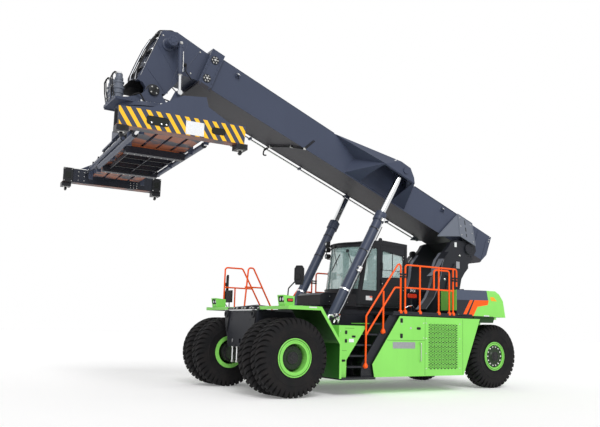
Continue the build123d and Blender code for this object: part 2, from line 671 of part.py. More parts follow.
def lift_rod():
    """Left lift cylinder's rod with its eye and pin."""
    a, b = LIFT_BASE, LIFT_TOP
    length = hypot(b[0] - a[0], b[1] - a[1], b[2] - a[2])
    shaft = rod(along(a, b, length - 3310), along(a, b, length - 100), LIFT_ROD_RADIUS)
    shaft += cross_bar(b[0], b[2], (b[1] - 46, b[1] + 46), 105)
    return shaft + cross_bar(b[0], b[2], (b[1] - 52, b[1] + 52), 60)


def damper_barrels():
    """Swing dampers' barrels, hung from the head's lugs."""
    (x0, z0), (x1, z1) = DAMPER_TOP, DAMPER_FOOT
    a, b = (x0, DAMPER_Y, z0), (x1, DAMPER_Y, z1)
    barrel = cross_bar(x0, z0, (DAMPER_Y - 36, DAMPER_Y + 36), 58)
    barrel += rod(along(a, b, 40), along(a, b, DAMPER_BARREL), DAMPER_RADIUS)
    barrel -= rod(along(a, b, 150), along(a, b, DAMPER_BARREL + 10), 38)
    barrel -= cross_bar(x0, z0, (DAMPER_Y - 100, DAMPER_Y + 100), DAMPER_PIN_RADIUS + 0.4)
    return Compound(children=[barrel, other_side(barrel)])


def damper_rods():
    """The dampers' rods with their eyes."""
    (x0, z0), (x1, z1) = DAMPER_TOP, DAMPER_FOOT
    a, b = (x0, DAMPER_Y, z0), (x1, DAMPER_Y, z1)
    length = hypot(x1 - x0, z1 - z0)
    shaft = rod(along(a, b, length - 620), along(a, b, length - 40), 32)
    shaft += cross_bar(x1, z1, (DAMPER_Y - 36, DAMPER_Y + 36), 55)
    return Compound(children=[shaft, other_side(shaft)])


# ---------------------------------------------------------------- rotator and spreader

def rotator_yoke():
    """Yoke that swings on the head's pin and carries the slew ring's upper flange."""
    px, pz = on_boom(*YOKE_PIN)
    yoke = cross_bar(px, pz, (-YOKE_EAR_Y[1], YOKE_EAR_Y[1]), 80)
    yoke += Pos(px, 0, 6050) * Cylinder(620, 90)
    yoke += block((px + 300, px + 790), (-420, 420), (6090, 6150))
    ear = side_plate([(2420, 6080), (2610, 6340), (2700, 6490), (2900, 6480), (2960, 6390), (3060, 6290),
                      (3210, 6210), (3350, 6160), (3560, 6110), (3560, 6080)], YOKE_EAR_Y)
    ear += cross_bar(px, pz, YOKE_EAR_Y, 125)
    ear += cross_bar(px, pz, (YOKE_EAR_Y[1] - 4, YOKE_EAR_Y[1] + 22), 92)
    # lugs behind the ears for the swing dampers
    x, z = DAMPER_FOOT
    lug = side_plate([(x - 50, 6040), (x + 260, 6040), (x + 60, z + 40), (x - 20, z + 55), (x - 60, z)],
                     DAMPER_LUG_Y)
    return yoke + mirrored(ear + lug)


def slew_motors():
    """Two slewing gearmotors that stand ahead of the ring."""
    x = on_boom(*YOKE_PIN)[0] + 680
    motor = rod((x, 230, 6150), (x, 230, 6500), 92) + rod((x, 230, 6500), (x, 230, 6700), 66)
    return Compound(children=[motor, other_side(motor)])


def place_spreader(shape):
    """From the spreader's own axes (X forward, Y to the left) to the machine's."""
    return Pos(SPREADER_CENTRE[0], SPREADER_CENTRE[1], 0) * Rot(0, 0, SPREADER_TURN) * shape


def spreader_local(x, y):
    """Plan position of a machine point in the spreader's own axes."""
    a = radians(SPREADER_TURN)
    dx, dy = x - SPREADER_CENTRE[0], y - SPREADER_CENTRE[1]
    return dx * cos(a) + dy * sin(a), dy * cos(a) - dx * sin(a)


def slew_carriage():
    """Lower half of the slew ring and the carriage that the spreader shifts along."""
    px = on_boom(*YOKE_PIN)[0]
    ring = Pos(px, 0, 5935) * Cylinder(600, 130)
    cx, cy = spreader_local(px, 0)
    carriage = block((-640, 640), (cy - 520, cy + 520), (5566, 5640))
    carriage += block((-420, 420), (cy - 480, cy + 480), (5630, 5880))
    shoe = block((560, 640), (cy - 520, cy + 520), (5440, 5570))
    shoe += block((500, 640), (cy - 520, cy + 520), (5440, 5500))
    carriage += shoe + mirror(shoe, about=Plane.YZ)
    return ring + place_spreader(carriage)


TUBE_X = (150, 460)  # middles of the inner and outer guide tubes, either side of the middle line
TUBE_HALF_WIDTH = 125
TUBE_Z = (5060, 5400)
TUBE_WALL = 14
BEAM_GAP = 8  # between a sliding beam and its tube


def spreader_frame():
    """Four guide tubes for the sliding arms, tied by cross plates, with the carriage's rails."""
    frame = None
    w, t = TUBE_HALF_WIDTH, TUBE_WALL
    for middle in TUBE_X:
        for x in (-middle, middle):
            tube = block((x - w, x + w), (-2500, 2500), TUBE_Z)
            tube -= block((x - w + t, x + w - t), (-2600, 2600), (TUBE_Z[0] + t, TUBE_Z[1] - t))
            frame = tube if frame is None else frame + tube
    for y in ((-2460, -2300), (-1500, -1380), (-80, 80), (1380, 1500), (2300, 2460)):
        for x in ((-336, -274), (-26, 26), (274, 336)):
            frame += block(x, y, (5080, 5380))
    # pan under the tubes, open below between its ribs, with a cross box at each end
    pan = block((-500, 500), (-1120, 1120), (4950, TUBE_Z[0] + 4))
    for x in ((-484, -8), (8, 484)):
        for y in ((-930, -480), (-464, -8), (8, 464), (480, 930)):
            pan -= block(x, y, (4940, 5046))
    for y in ((-1120, -946), (946, 1120)):
        pan += block((-620, 620), y, (4900, 5040))
    # slide rails for the carriage, on webs that stand on the outer tubes
    rail = block((400, 540), (-1700, 1700), (5520, 5560)) + block((400, 445), (-1700, 1700), (5399, 5530))
    return place_spreader(frame + pan + rail + mirror(rail, about=Plane.YZ))


def spreader_arm():
    """Left arm: two sliding beams, the end beam and its corner housings."""
    arm = None
    w = TUBE_HALF_WIDTH - TUBE_WALL - BEAM_GAP
    z = (TUBE_Z[0] + TUBE_WALL + BEAM_GAP, TUBE_Z[1] - TUBE_WALL - BEAM_GAP)
    for x in (-TUBE_X[0], TUBE_X[1]):
        beam = block((x - w, x + w), (-1500, 2790), z)
        arm = beam if arm is None else arm + beam
    outline = [(-1173, 4908), (-1198, 5271), (-860, 5275), (-430, 5510), (-380, 5690), (60, 5640),
               (610, 5320), (1214, 5243), (1193, 4901)]
    arm += side_plate(outline, (2990, 3020))
    arm += block((-1170, 1190), (2770, 3000), (4905, 5250))
    for x in (-TWIST_X, TWIST_X):
        arm += block((x - 110, x + 110), (2790, 3040), (HOUSING_Z, 4908))
    arm -= block((320, 700), (2960, 3030), (5000, 5145))
    arm -= block((-775, -520), (2960, 3030), (5020, 5130))
    for x in (-TWIST_X, TWIST_X):
        arm -= Pos(x, TWIST_Y, HOUSING_Z) * Cylinder(29, 240)
    return place_spreader(arm)


def turned_end_for_end(shape):
    """The same shape at the other end of the spreader, turned half round."""
    x, y = SPREADER_CENTRE
    return Pos(x, y, 0) * Rot(0, 0, 180) * Pos(-x, -y, 0) * shape


def twistlock(side_x, side_y):
    """Twistlock: a shaft with a pointed head below the corner housing."""
    shoulder = HOUSING_Z - 40
    lock = rod((0, 0, shoulder), (0, 0, shoulder + 150), 28.95)
    lock += block((-27, 27), (-50, 50), (shoulder - 22, shoulder + 2))
    cone = loft([Pos(0, 0, shoulder - 22) * Rectangle(54, 100), Pos(0, 0, TWIST_TIP_Z) * Rectangle(26, 44)])
    return place_spreader(Pos(side_x * TWIST_X, side_y * TWIST_Y, 0) * (lock + cone))


# ---------------------------------------------------------------- the list of nodes

def nodes():
    """Node name and solid of every sub-part."""
    yield "chassis_frame", chassis_frame()
    yield "front_plate", front_plate()
    yield "drive_axle", drive_axle()
    yield "steer_axle", steer_axle()
    yield "boom_support", boom_support()
    yield "counterweight", counterweight()
    yield "rear_hoods", rear_hood()
    yield "battery_boxes", mirrored(side_box())
    yield "cooling_grilles", mirrored(cooling_grille())
    yield "front_cabinets", mirrored(front_cabinet())
    yield "stairs", mirrored(stairs())
    yield "deck", deck()
    yield "handrails", handrails()
    yield "front_fenders", mirrored(front_fender())
    yield "headlamps", mirrored(headlamp())
    yield "mirrors", mirrors()
    yield "cab_rails", cab_rails()
    sided = {
        "steering_knuckle": steering_knuckle(),
        "front_tyres": front_tyres(),
        "front_rims": front_rims(),
        "rear_tyre": tyre(-WHEELBASE, REAR_TYRE_Y),
        "rear_rim": rear_rim(),
        "lift_barrel": lift_barrel(),
        "lift_rod": lift_rod(),
        "cab_door": cab_door(),
    }
    for name, shape in sided.items():
        yield f"{name}_left", shape
        yield f"{name}_right", other_side(shape)
    yield "cab_base", cab_base()
    yield "cab_shell", cab_shell()
    yield "cab_glass", cab_glass()
    yield "seat", seat()
    yield "steering_console", steering_console()
    yield "base_boom", base_boom()
    yield "tail_cover", tail_cover()
    yield "inner_boom", inner_boom()
    yield "boom_head", boom_head()
    yield "damper_barrels", damper_barrels()
    yield "damper_rods", damper_rods()
    yield "rotator_yoke", rotator_yoke()
    yield "slew_motors", slew_motors()
    yield "slew_carriage", slew_carriage()
    yield "spreader_frame", spreader_frame()
    arm = spreader_arm()
    yield "spreader_arm_left", arm
    yield "spreader_arm_right", turned_end_for_end(arm)
    for name, side_x, side_y in (("front_left", 1, 1), ("rear_left", -1, 1),
                                 ("front_right", 1, -1), ("rear_right", -1, -1)):
        yield f"twistlock_{name}", twistlock(side_x, side_y)


os.makedirs("parts", exist_ok=True)
for node, solid in nodes():
    export_step(solid, f"parts/{node}.step")
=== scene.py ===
# %% [markdown]
# # A reach stacker, finished in Blender
# The machine's solids come from CAD: frame, wheels, boom, cab and spreader, each on its own moving body.
# This lesson gives them their paint, rubber and glass, and adds what a CAD model leaves out: tyre tread,
# bolts, pipes, wire mesh, lamps and a sewn seat. The first cell loads the imported model.

# %% Load the frame
from math import cos, pi, radians, sin

import bpy
import numpy as np
from mathutils import Matrix, Vector


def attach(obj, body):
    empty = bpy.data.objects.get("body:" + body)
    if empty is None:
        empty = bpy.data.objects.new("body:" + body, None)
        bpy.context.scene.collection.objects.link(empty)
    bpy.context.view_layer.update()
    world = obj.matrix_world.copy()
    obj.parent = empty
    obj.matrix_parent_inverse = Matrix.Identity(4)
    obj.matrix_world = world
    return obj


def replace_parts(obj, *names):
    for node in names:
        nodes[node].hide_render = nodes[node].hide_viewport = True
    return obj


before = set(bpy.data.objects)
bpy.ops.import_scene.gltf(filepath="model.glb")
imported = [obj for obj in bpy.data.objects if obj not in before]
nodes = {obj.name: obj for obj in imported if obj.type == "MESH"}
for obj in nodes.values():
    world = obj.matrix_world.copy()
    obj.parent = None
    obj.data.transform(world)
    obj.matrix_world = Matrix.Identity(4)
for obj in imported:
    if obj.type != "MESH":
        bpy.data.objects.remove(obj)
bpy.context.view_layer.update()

# %% Places in metres that paint and fittings share
WHEEL_Z, REAR_AXLE_X = 0.83, -6.48
BOOM_TILT, BOOM_PIVOT = radians(20.38), (-6.45, 3.75)
SPREADER_TURN, SPREADER_AT = radians(-4.31), np.array((2.705, -0.299, 0))
BOX_Y, CABINET_Y, RAIL_Y, HOOD_Y = 1.956, 1.895, 1.925, 1.951
NOSE_X, HEAD_Y = 0.262, 0.42
print("boom tilt", round(BOOM_TILT, 4), "spreader turn", round(SPREADER_TURN, 4))

# %% [markdown]
# ## Camera, floor and light
# The machine is seen from its front left corner, from about a standing person's eye height, with the lens
# shifted a little so that upright edges stay upright. One large soft lamp stands high on the same side.
# The world fills the shadows, and shows white where the camera sees past the floor. The two together light
# a face that looks at the camera by about one, so a colour renders as it is written.

# %% Camera
EYE = Vector((7.539, 14.279, 1.474))
LOOK = Vector((-0.5468, -0.8266, 0.1333)).normalized()
ROLL = radians(-1.455)
flat_right = LOOK.cross(Vector((0, 0, 1))).normalized()
flat_up = flat_right.cross(LOOK)
right = flat_right * cos(ROLL) - flat_up * sin(ROLL)
up = flat_right * sin(ROLL) + flat_up * cos(ROLL)
camera = bpy.data.objects.new("camera", bpy.data.cameras.new("camera"))
camera.matrix_world = Matrix.Translation(EYE) @ Matrix((right, up, -LOOK)).transposed().to_4x4()
camera.data.sensor_width, camera.data.lens = 36, 41.06
camera.data.shift_x, camera.data.shift_y = -0.035, 0.0362
camera.data.clip_end = 500
bpy.context.scene.collection.objects.link(camera)
bpy.context.scene.camera = camera
bpy.context.scene.view_settings.view_transform = "Standard"
print("camera at", [round(v, 2) for v in EYE])

# %% [markdown]
# ## Arithmetic on shader sockets
# A node material is a sum on paper: dust times noise plus rust. Linking Math nodes by hand hides that sum,
# so a small class wraps an output socket and gives it +, -, * and /. Every other node comes from one
# method, which takes the node's type, its settings and what goes into its sockets.

# %% Wire and Look
def math_node(operation, swapped=False):
    """A method that adds one Math node, with the wire as its first value or, if swapped, as its second."""
    def method(self, other=0.0):
        a, b = (other, self) if swapped else (self, other)
        return self.look.node("Math", dict(operation=operation), {0: a, 1: b})
    return method


class Wire:
    """An output socket; arithmetic on it adds Math nodes to its material."""
    __add__ = __radd__ = math_node("ADD")
    __sub__, __rsub__ = math_node("SUBTRACT"), math_node("SUBTRACT", swapped=True)
    __mul__ = __rmul__ = math_node("MULTIPLY")
    __truediv__, __abs__ = math_node("DIVIDE"), math_node("ABSOLUTE")
    lowest, highest = math_node("MINIMUM"), math_node("MAXIMUM")

    def __init__(self, look, socket):
        self.look, self.socket = look, socket

    def step(self, low, high):
        """0 below low, 1 above high, and an even ramp between them; falls if high is less than low."""
        return self.look.node("MapRange", {}, {0: self, 1: low, 2: high})


class Look:
    """A material being made: a Principled shader and the nodes that feed it."""

    def __init__(self, name, **fixed):
        self.material = bpy.data.materials.new(name)
        self.material.use_nodes = True
        self.tree = self.material.node_tree
        self.shader = self.tree.nodes["Principled BSDF"]
        self.feed(**fixed)
        self.place = self.node("TexCoord", {}, {}, "Object")
        xyz = self.node("SeparateXYZ", {}, {0: self.place})
        self.x, self.y, self.z = (Wire(self, output) for output in xyz.socket.node.outputs)

    def node(self, kind, settings, sockets, output=0):
        """Adds a node; a Wire among its socket values is linked, anything else is set."""
        made = self.tree.nodes.new("ShaderNode" + kind)
        for name, value in settings.items():
            setattr(made, name, value)
        for key, value in sockets.items():
            self.plug(made.inputs[key], value)
        return Wire(self, made.outputs[output])

    def plug(self, socket, value):
        """Links a Wire to the socket, or sets the socket's value."""
        if isinstance(value, Wire):
            self.tree.links.new(value.socket, socket)
        elif isinstance(value, tuple) and socket.type == "RGBA":
            socket.default_value = (*value, 1)
        else:
            socket.default_value = value

    def feed(self, **inputs):
        """Sets or links the shader's own sockets, named with _ for a space."""
        for name, value in inputs.items():
            self.plug(self.shader.inputs[name.replace("_", " ")], value)
        return self

    def noise(self, scale, detail=3.0, stretch=(1, 1, 1)):
        """Noise on the piece's own place, from 0 to 1 with its middle at 0.5."""
        at = self.node("Mapping", {}, {"Vector": self.place, "Scale": stretch})
        return self.node("TexNoise", {}, {"Vector": at, "Scale": scale, "Detail": detail})

    def mix(self, a, b, share):
        """Colour a where share is 0 and b where it is 1."""
        return self.node("Mix", dict(data_type="RGBA"), {0: share, 6: a, 7: b}, 2)

    def over(self, colour, share):
        """Lays a colour over the look's own shade where share is 1."""
        self.shade = self.mix(self.shade, colour, share)
        return self.feed(Base_Color=self.shade)

    def bump(self, height, distance, strength):
        """Tilts the shading by a height, as if it stood out by a distance in metres."""
        return self.feed(Normal=self.node("Bump", {}, dict(Strength=strength, Distance=distance,
                                                           Height=height)))


def srgb(r, g, b):
    """Linear colour of an 8-bit screen colour: the straight toe below 10, and the 2.4 power above it."""
    return tuple(v / 3294.6 if v <= 10 else ((v / 255 + 0.055) / 1.055) ** 2.4 for v in (r, g, b))


print("black paint is", srgb(38, 40, 46))

# %% Floor, lamp and world
SKY_LIGHT, LAMP_POWER, LAMP_WIDTH = 0.55, 1.75, radians(28)
LAMP_AIM = Vector((-0.28, -0.72, -0.64))
FLOOR_REACH, FLOOR_GLOW = 90, 0.17


def lit_world():
    """White where the camera, a mirror or a pane sees it, and weaker as a light."""
    world = bpy.data.worlds.new("sky")
    bpy.context.scene.world = world
    world.use_nodes = True
    tree = world.node_tree
    rays = tree.nodes.new("ShaderNodeLightPath").outputs
    seen = rays["Is Camera Ray"]
    for name in ("Is Glossy Ray", "Is Transmission Ray"):
        either = tree.nodes.new("ShaderNodeMath")
        either.operation = "MAXIMUM"
        tree.links.new(seen, either.inputs[0])
        tree.links.new(rays[name], either.inputs[1])
        seen = either.outputs[0]
    level = tree.nodes.new("ShaderNodeMapRange")
    tree.links.new(seen, level.inputs[0])
    level.inputs[3].default_value, level.inputs[4].default_value = SKY_LIGHT, 1.0
    background = tree.nodes["Background"]
    background.inputs[0].default_value = (1, 1, 1, 1)
    tree.links.new(level.outputs[0], background.inputs[1])


lit_world()
sun = bpy.data.objects.new("soft_lamp", bpy.data.lights.new("soft_lamp", "SUN"))
sun.data.energy, sun.data.angle = LAMP_POWER, LAMP_WIDTH
sun.matrix_world = LAMP_AIM.to_track_quat("-Z", "Y").to_matrix().to_4x4()
bpy.context.scene.collection.objects.link(sun)
floor = bpy.data.objects.new("floor", bpy.data.meshes.new("floor"))
square = [(x * FLOOR_REACH, y * FLOOR_REACH, 0) for x, y in ((-1, -1), (1, -1), (1, 1), (-1, 1))]
floor.data.from_pydata(square, [], [(0, 1, 2, 3)])
concrete = Look("pale_floor", Roughness=0.9, Emission_Color=(1, 1, 1), Emission_Strength=FLOOR_GLOW)
concrete.feed(Base_Color=concrete.mix((0.9, 0.9, 0.9), (0.94, 0.94, 0.94), concrete.noise(0.7)))
floor.data.materials.append(concrete.material)
bpy.context.scene.collection.objects.link(floor)
print("sky", SKY_LIGHT, "lamp", LAMP_POWER)

# %% [markdown]
# ## Paint
# Factory paint on heavy plate is not one flat colour. It lies a little thicker or thinner from panel to
# panel, rain leaves faint upright streaks, road dust settles low down, and the sprayed skin has a fine
# orange-peel dimple that breaks up reflections. One function makes all the painted finishes, because they
# differ only in colour, gloss and how much dirt they show. Each returns its look, so that a later cell can
# lay a second colour over a part of it.

# %% Painted steel
def painted(name, colour, roughness, dust=0.1, streaks=0.1):
    """Colour times a slow drift, darker in upright streaks, with pale dust towards the ground."""
    look = Look(name, Metallic=0.0, Specular_IOR_Level=0.28)
    drift = look.noise(0.8, 4.0)
    streak = look.noise(1.0, 4.0, (7.0, 7.0, 0.5)).step(0.52, 0.72)
    fine = look.noise(45.0, 5.0)
    shade = look.mix(colour, tuple(v * 0.82 for v in colour), (drift - 0.5).step(-0.15, 0.25) * 0.5)
    shade = look.mix(shade, tuple(v * 0.62 for v in colour), streak * streaks)
    low = look.z.step(1.3, 0.1) * fine.step(0.42, 0.66) * dust
    look.shade = look.mix(shade, srgb(150, 143, 132), low)
    look.feed(Base_Color=look.shade, Roughness=roughness + drift * 0.12 + fine * 0.05 - 0.08)
    look.bump(look.noise(260.0, 1.0) * 0.6 + fine, 0.0007, 0.5)
    return look


SLATE, CHARCOAL, GREEN = srgb(64, 71, 90), srgb(31, 33, 40), srgb(139, 222, 100)
ORANGE, YELLOW, BLACK = srgb(255, 92, 8), srgb(253, 196, 48), srgb(26, 26, 29)
slate = painted("boom_slate", SLATE, 0.4, dust=0.0)
charcoal = painted("frame_charcoal", CHARCOAL, 0.5)
soot = painted("cab_charcoal", srgb(24, 26, 31), 0.38, dust=0.0)
green = painted("body_green", GREEN, 0.36, streaks=0.06)
orange = painted("rail_orange", ORANGE, 0.35, streaks=0.08)
grey = painted("guard_grey", srgb(104, 110, 122), 0.35, dust=0.0)
black = painted("axle_black", srgb(30, 31, 34), 0.5, dust=0.2)
print("paints", [m.name for m in bpy.data.materials])

# %% [markdown]
# ## Paint that changes over one solid
# Some solids carry two colours: the rear hood has a dark flash with two orange stripes, the boom is a
# warmer brown-grey underneath, partly its own tone and partly painted shade, and the end beams wear yellow
# warning bands. Painted shade also darkens the end beams' inner faces and undersides, the mudguard under
# the rear hood and the insides of the front mudguards.
# The colours are laid by where a point is, in metres on the machine, so that the edge of a band is as sharp
# as masking tape. A half-plane is a straight sum of X and Z, and a band is the overlap of two half-planes.

# %% Masks from straight edges
def beyond(look, a, b, width=0.002):
    """1 on the left of the line from a to b, walked in the plane of X and Z, and 0 on its right."""
    run = Vector(b) - Vector(a)
    run.normalize()
    side = look.x * -run.y + look.z * run.x
    here = a[1] * run.x - a[0] * run.y
    return side.step(here - width, here + width)


def inside(look, *corners):
    """1 inside a convex outline whose corners go round to the left."""
    mask = 1.0
    for a, b in zip(corners, corners[1:] + corners[:1]):
        mask = beyond(look, a, b) * mask
    return mask


def stripes(look, along, pitch, share):
    """1 in bands of a pitch along a coordinate, each filling that share of it, with 4 mm soft edges."""
    saw = look.node("Math", dict(operation="PINGPONG"), {0: along / (pitch / 2), 1: 1.0})
    return saw.step(share + 0.004 / pitch, share - 0.004 / pitch)


print("masks ready")

# %% Two-colour solids
def boom_underside_shade():
    """Below the boom's underside line the slate turns to a darker, warmer brown-grey: partly its own tone,
    partly painted shade.
    """
    look = painted("boom_slate_long", SLATE, 0.4, dust=0.0)
    v = look.z * cos(BOOM_TILT) - look.x * sin(BOOM_TILT)
    line = BOOM_PIVOT[1] * cos(BOOM_TILT) - BOOM_PIVOT[0] * sin(BOOM_TILT)
    # The darker, browner underside is partly the boom's own tone and partly painted shade.
    under = v.step(line + 0.012, line + 0.008)
    return look.over(srgb(47, 43, 45), under * 0.85)


def hood_colours():
    """Green, with a dark flash and a slate top panel on the side, two orange stripes, a dark foot, and
    painted shade in dark green on the mudguard below.
    """
    look = painted("hood_green", GREEN, 0.36, streaks=0.06)
    side = abs(look.y).step(1.392, 1.396) * look.x.step(-4.7015, -4.7025)
    flash = inside(look, (-5.12, 1.7), (-4.6, 1.7), (-4.6, 2.6), (-5.55, 2.6), (-5.55, 2.25))
    look.over(CHARCOAL, flash * side)
    panel = inside(look, (-5.82, 2.262), (-4.6, 2.235), (-4.6, 2.6), (-5.74, 2.6))
    look.over(srgb(74, 82, 100), panel * side)
    first = inside(look, (-4.997, 1.815), (-4.88, 1.815), (-5.159, 2.246), (-5.271, 2.249))
    second = inside(look, (-5.256, 1.815), (-5.083, 1.815), (-5.321, 2.251), (-5.545, 2.257))
    along = inside(look, (-5.803, 2.147), (-5.433, 2.089), (-5.321, 2.251), (-5.843, 2.264))
    look.over(ORANGE, first.highest(second).highest(along) * side)
    foot = look.z.step(1.978, 1.974) * look.x.step(-4.7035, -4.7025)
    look.over(srgb(28, 30, 36), foot)
    # Painted shade: the mudguard below the hood is painted dark green where the hood shades it.
    guard = look.z.step(1.8435, 1.8425)
    return look.over(srgb(24, 66, 24), guard * 0.95)


def fender_colours():
    """Green outside, dark green in the wheel's shade under the skin."""
    look = painted("fender_green", GREEN, 0.36)
    within = abs(look.y).step(2.0295, 2.0285)
    under = look.z.step(1.8975, 1.8965)
    behind = beyond(look, (-1.16, 1.133), (-0.627, 1.898), 0.001)
    skin = look.x.step(-1.1625, -1.1615) * look.x.step(0.1895, 0.1885)
    # Painted shade: under the skin the green turns dark, darker towards the top of the wheel arch.
    arch_shade = within * under * (1.0 - behind) * skin
    depth = look.z.step(1.1, 1.85)
    inner = look.mix(srgb(34, 92, 30), srgb(20, 30, 20), depth)
    return look.over(inner, arch_shade * 0.95)


def box_colours():
    """Green, but black on the sloping front that stands behind the stairs."""
    look = painted("box_green", GREEN, 0.36, streaks=0.06)
    slope = beyond(look, (-2.0995, 0.7), (-2.8894, 1.8), 0.0008)
    foot = beyond(look, (-2.147, 0.38), (-2.086, 0.68), 0.0008)
    front = (1.0 - slope.lowest(foot)) * abs(look.y).step(1.9535, 1.9525)
    return look.over(srgb(22, 24, 28), front * 0.97)


def beam_colours():
    """Slate end beam with slanted yellow bands on its outer plate, painted shade on its inner faces and
    underside, and rust-red primer underneath.
    """
    look = painted("beam_slate", SLATE, 0.4, dust=0.0)
    c, s, (cx, cy, _) = cos(SPREADER_TURN), sin(SPREADER_TURN), SPREADER_AT.tolist()
    x = (look.x - cx) * c + (look.y - cy) * s
    y = (look.y - cy) * c - (look.x - cx) * s
    face = abs(y).step(3.016, 3.018)
    flip = y.step(-0.01, 0.01) * 2.0 - 1.0
    u = x * flip
    band = look.z.step(4.899, 4.902) * look.z.step(5.252, 5.249)
    slant = stripes(look, u - look.z * 0.66 + 9.0, 0.178, 0.46)
    look.over(YELLOW, slant * band * face)
    edge = look.z.step(4.913, 4.909) * look.z.step(4.897, 4.899)
    rust = look.noise(3.0, 5.0).step(0.4, 0.58) * edge
    # Painted shade: the inner faces below the top and the whole underside turn near-black.
    inner_shade = abs(y).step(3.012, 3.008) * look.z.step(5.26, 5.24) + look.z.step(4.899, 4.897)
    look.over(srgb(30, 31, 36), inner_shade * 0.8)
    return look.over(srgb(132, 70, 40), rust * 0.7)


def spreader_colours():
    """Slate above, near-black underneath, with panels of orange primer showing through there."""
    look = painted("spreader_slate", SLATE, 0.42, dust=0.0)
    under = look.z.step(5.09, 5.05)
    panel = look.z.step(5.04, 5.042) + look.z.step(5.0445, 5.045) * look.z.step(5.048, 5.0475)
    worn = look.noise(1.6, 4.0, (1.0, 2.0, 1.0)).step(0.44, 0.54)
    look.over(srgb(34, 34, 40), under * 0.9)
    return look.over(srgb(170, 92, 46), under * panel * worn * 0.8)


def wheel_colours():
    """Green rim with a black disc and hub inside it."""
    look = painted("wheel_green", GREEN, 0.36)
    midway = REAR_AXLE_X / 2
    x = abs(look.x - midway) + midway
    z = look.z - WHEEL_Z
    reach = x * x + z * z
    look.over(srgb(19, 19, 22), reach.step(0.0856, 0.085) * 0.97)
    bead = reach.step(0.1385, 0.139) * look.x.step(-3.2, -3.3)
    return look.over(srgb(19, 19, 21), bead * 0.97)


print("two-colour finishes ready")

# %% [markdown]
# ## Rubber, glass and bare metal
# Tyre rubber is a soft near-black with a brown bloom and dried dust in its pores. Cab glass is thin,
# slightly green and mostly mirror, so an alpha below one lets the seat show while the coat still reflects.
# Piston rods are hard chrome with fine scratches left by grinding. Small fittings are zinc plated.

# %% Rubber, glass, metals and lenses
def tyre_rubber():
    """Near-black, browner where fine noise is high, worn grey on the tread, and darkest in its grooves as
    painted shade.
    """
    look = Look("tyre_rubber", Specular_IOR_Level=0.2)
    fine, broad = look.noise(60.0, 5.0), look.noise(4.0, 3.0)
    shade = look.mix(srgb(22, 22, 24), srgb(33, 30, 30), broad.step(0.4, 0.65) * 0.7)
    shade = look.mix(shade, srgb(78, 73, 68), fine.step(0.56, 0.74) * 0.16)
    groove = look.node("Attribute", dict(attribute_name="groove"), {}, "Fac")
    # Painted shade: the rubber turns near-black where the tread drops into a groove.
    shade = look.mix(shade, srgb(9, 9, 10), groove.step(0.003, 0.02) * 0.85)
    look.feed(Base_Color=shade, Roughness=0.72 + fine * 0.2)
    look.bump(fine + look.noise(220.0, 2.0) * 0.4, 0.0015, 0.6)
    return look


def metal(name, colour, roughness):
    """Bare metal with fine wandering scratches."""
    look = Look(name, Metallic=1.0)
    fine = look.noise(140.0, 4.0, (1.0, 1.0, 0.25))
    look.feed(Base_Color=look.mix(colour, tuple(v * 0.8 for v in colour), fine.step(0.4, 0.7)),
              Roughness=roughness + fine * 0.12)
    look.bump(fine, 0.0003, 0.3)
    return look


def plastic(name, colour, roughness=0.55, grain=400.0):
    """Moulded plastic: a pebbled skin, slightly greyer on the pebbles."""
    look = Look(name, Specular_IOR_Level=0.3)
    pebble = look.noise(grain, 2.0)
    look.feed(Base_Color=look.mix(colour, tuple(v * 1.5 + 0.004 for v in colour),
                                  pebble.step(0.5, 0.8) * 0.5), Roughness=roughness + pebble * 0.15)
    look.bump(pebble, 0.0006, 0.5)
    return look


def glass(name, tint, alpha):
    """Tinted pane: mostly clear, smoky streaks of dried rain, and a hard coat."""
    look = Look(name, Metallic=0.0, Coat_Weight=1.0, Coat_Roughness=0.03, IOR=1.5)
    film = look.noise(3.0, 5.0, (3.0, 3.0, 0.6))
    look.feed(Base_Color=look.mix(tint, tuple(v * 0.85 for v in tint), film.step(0.4, 0.7)),
              Roughness=0.04 + film * 0.06, Alpha=alpha + film * 0.12)
    return look


def lens(name, colour):
    """Moulded lamp lens with upright ribs, and a faint glow of its own."""
    look = Look(name, Coat_Weight=0.6, Emission_Strength=0.12)
    rib = look.node("Math", dict(operation="PINGPONG"), {0: (look.x + look.y) * 90.0, 1: 1.0})
    shade = look.mix(colour, tuple(v * 0.6 for v in colour), rib)
    look.feed(Base_Color=shade, Emission_Color=shade, Roughness=0.12 + rib * 0.1)
    look.bump(rib, 0.002, 0.6)
    return look


tread_rubber, chrome = tyre_rubber(), metal("chrome_rod", (0.8, 0.81, 0.82), 0.1)
zinc, alloy = metal("zinc_plate", (0.62, 0.62, 0.6), 0.28), metal("bright_alloy", (0.86, 0.87, 0.88), 0.22)
nylon, rubber = plastic("black_plastic", BLACK), plastic("hose_rubber", srgb(24, 24, 26), 0.6, 900.0)
white = plastic("blank_plate", srgb(226, 228, 230), 0.4, 60.0)
silver = metal("blank_silver_plate", srgb(170, 172, 176), 0.4)
dark = plastic("grille_black", srgb(20, 24, 20), 0.6)
cab_glass = glass("cab_glass", srgb(188, 220, 218), 0.3)
amber, red = lens("amber_lens", srgb(255, 140, 20)), lens("red_lens", srgb(214, 44, 26))
clear = lens("clear_lens", srgb(228, 232, 236))
print("materials", len(bpy.data.materials))

# %% [markdown]
# ## Finishes for the CAD solids
# A CAD node keeps its shape and takes a material. The table below gives each node its finish; where a
# node is one of a left and right pair, the name without its side is enough.

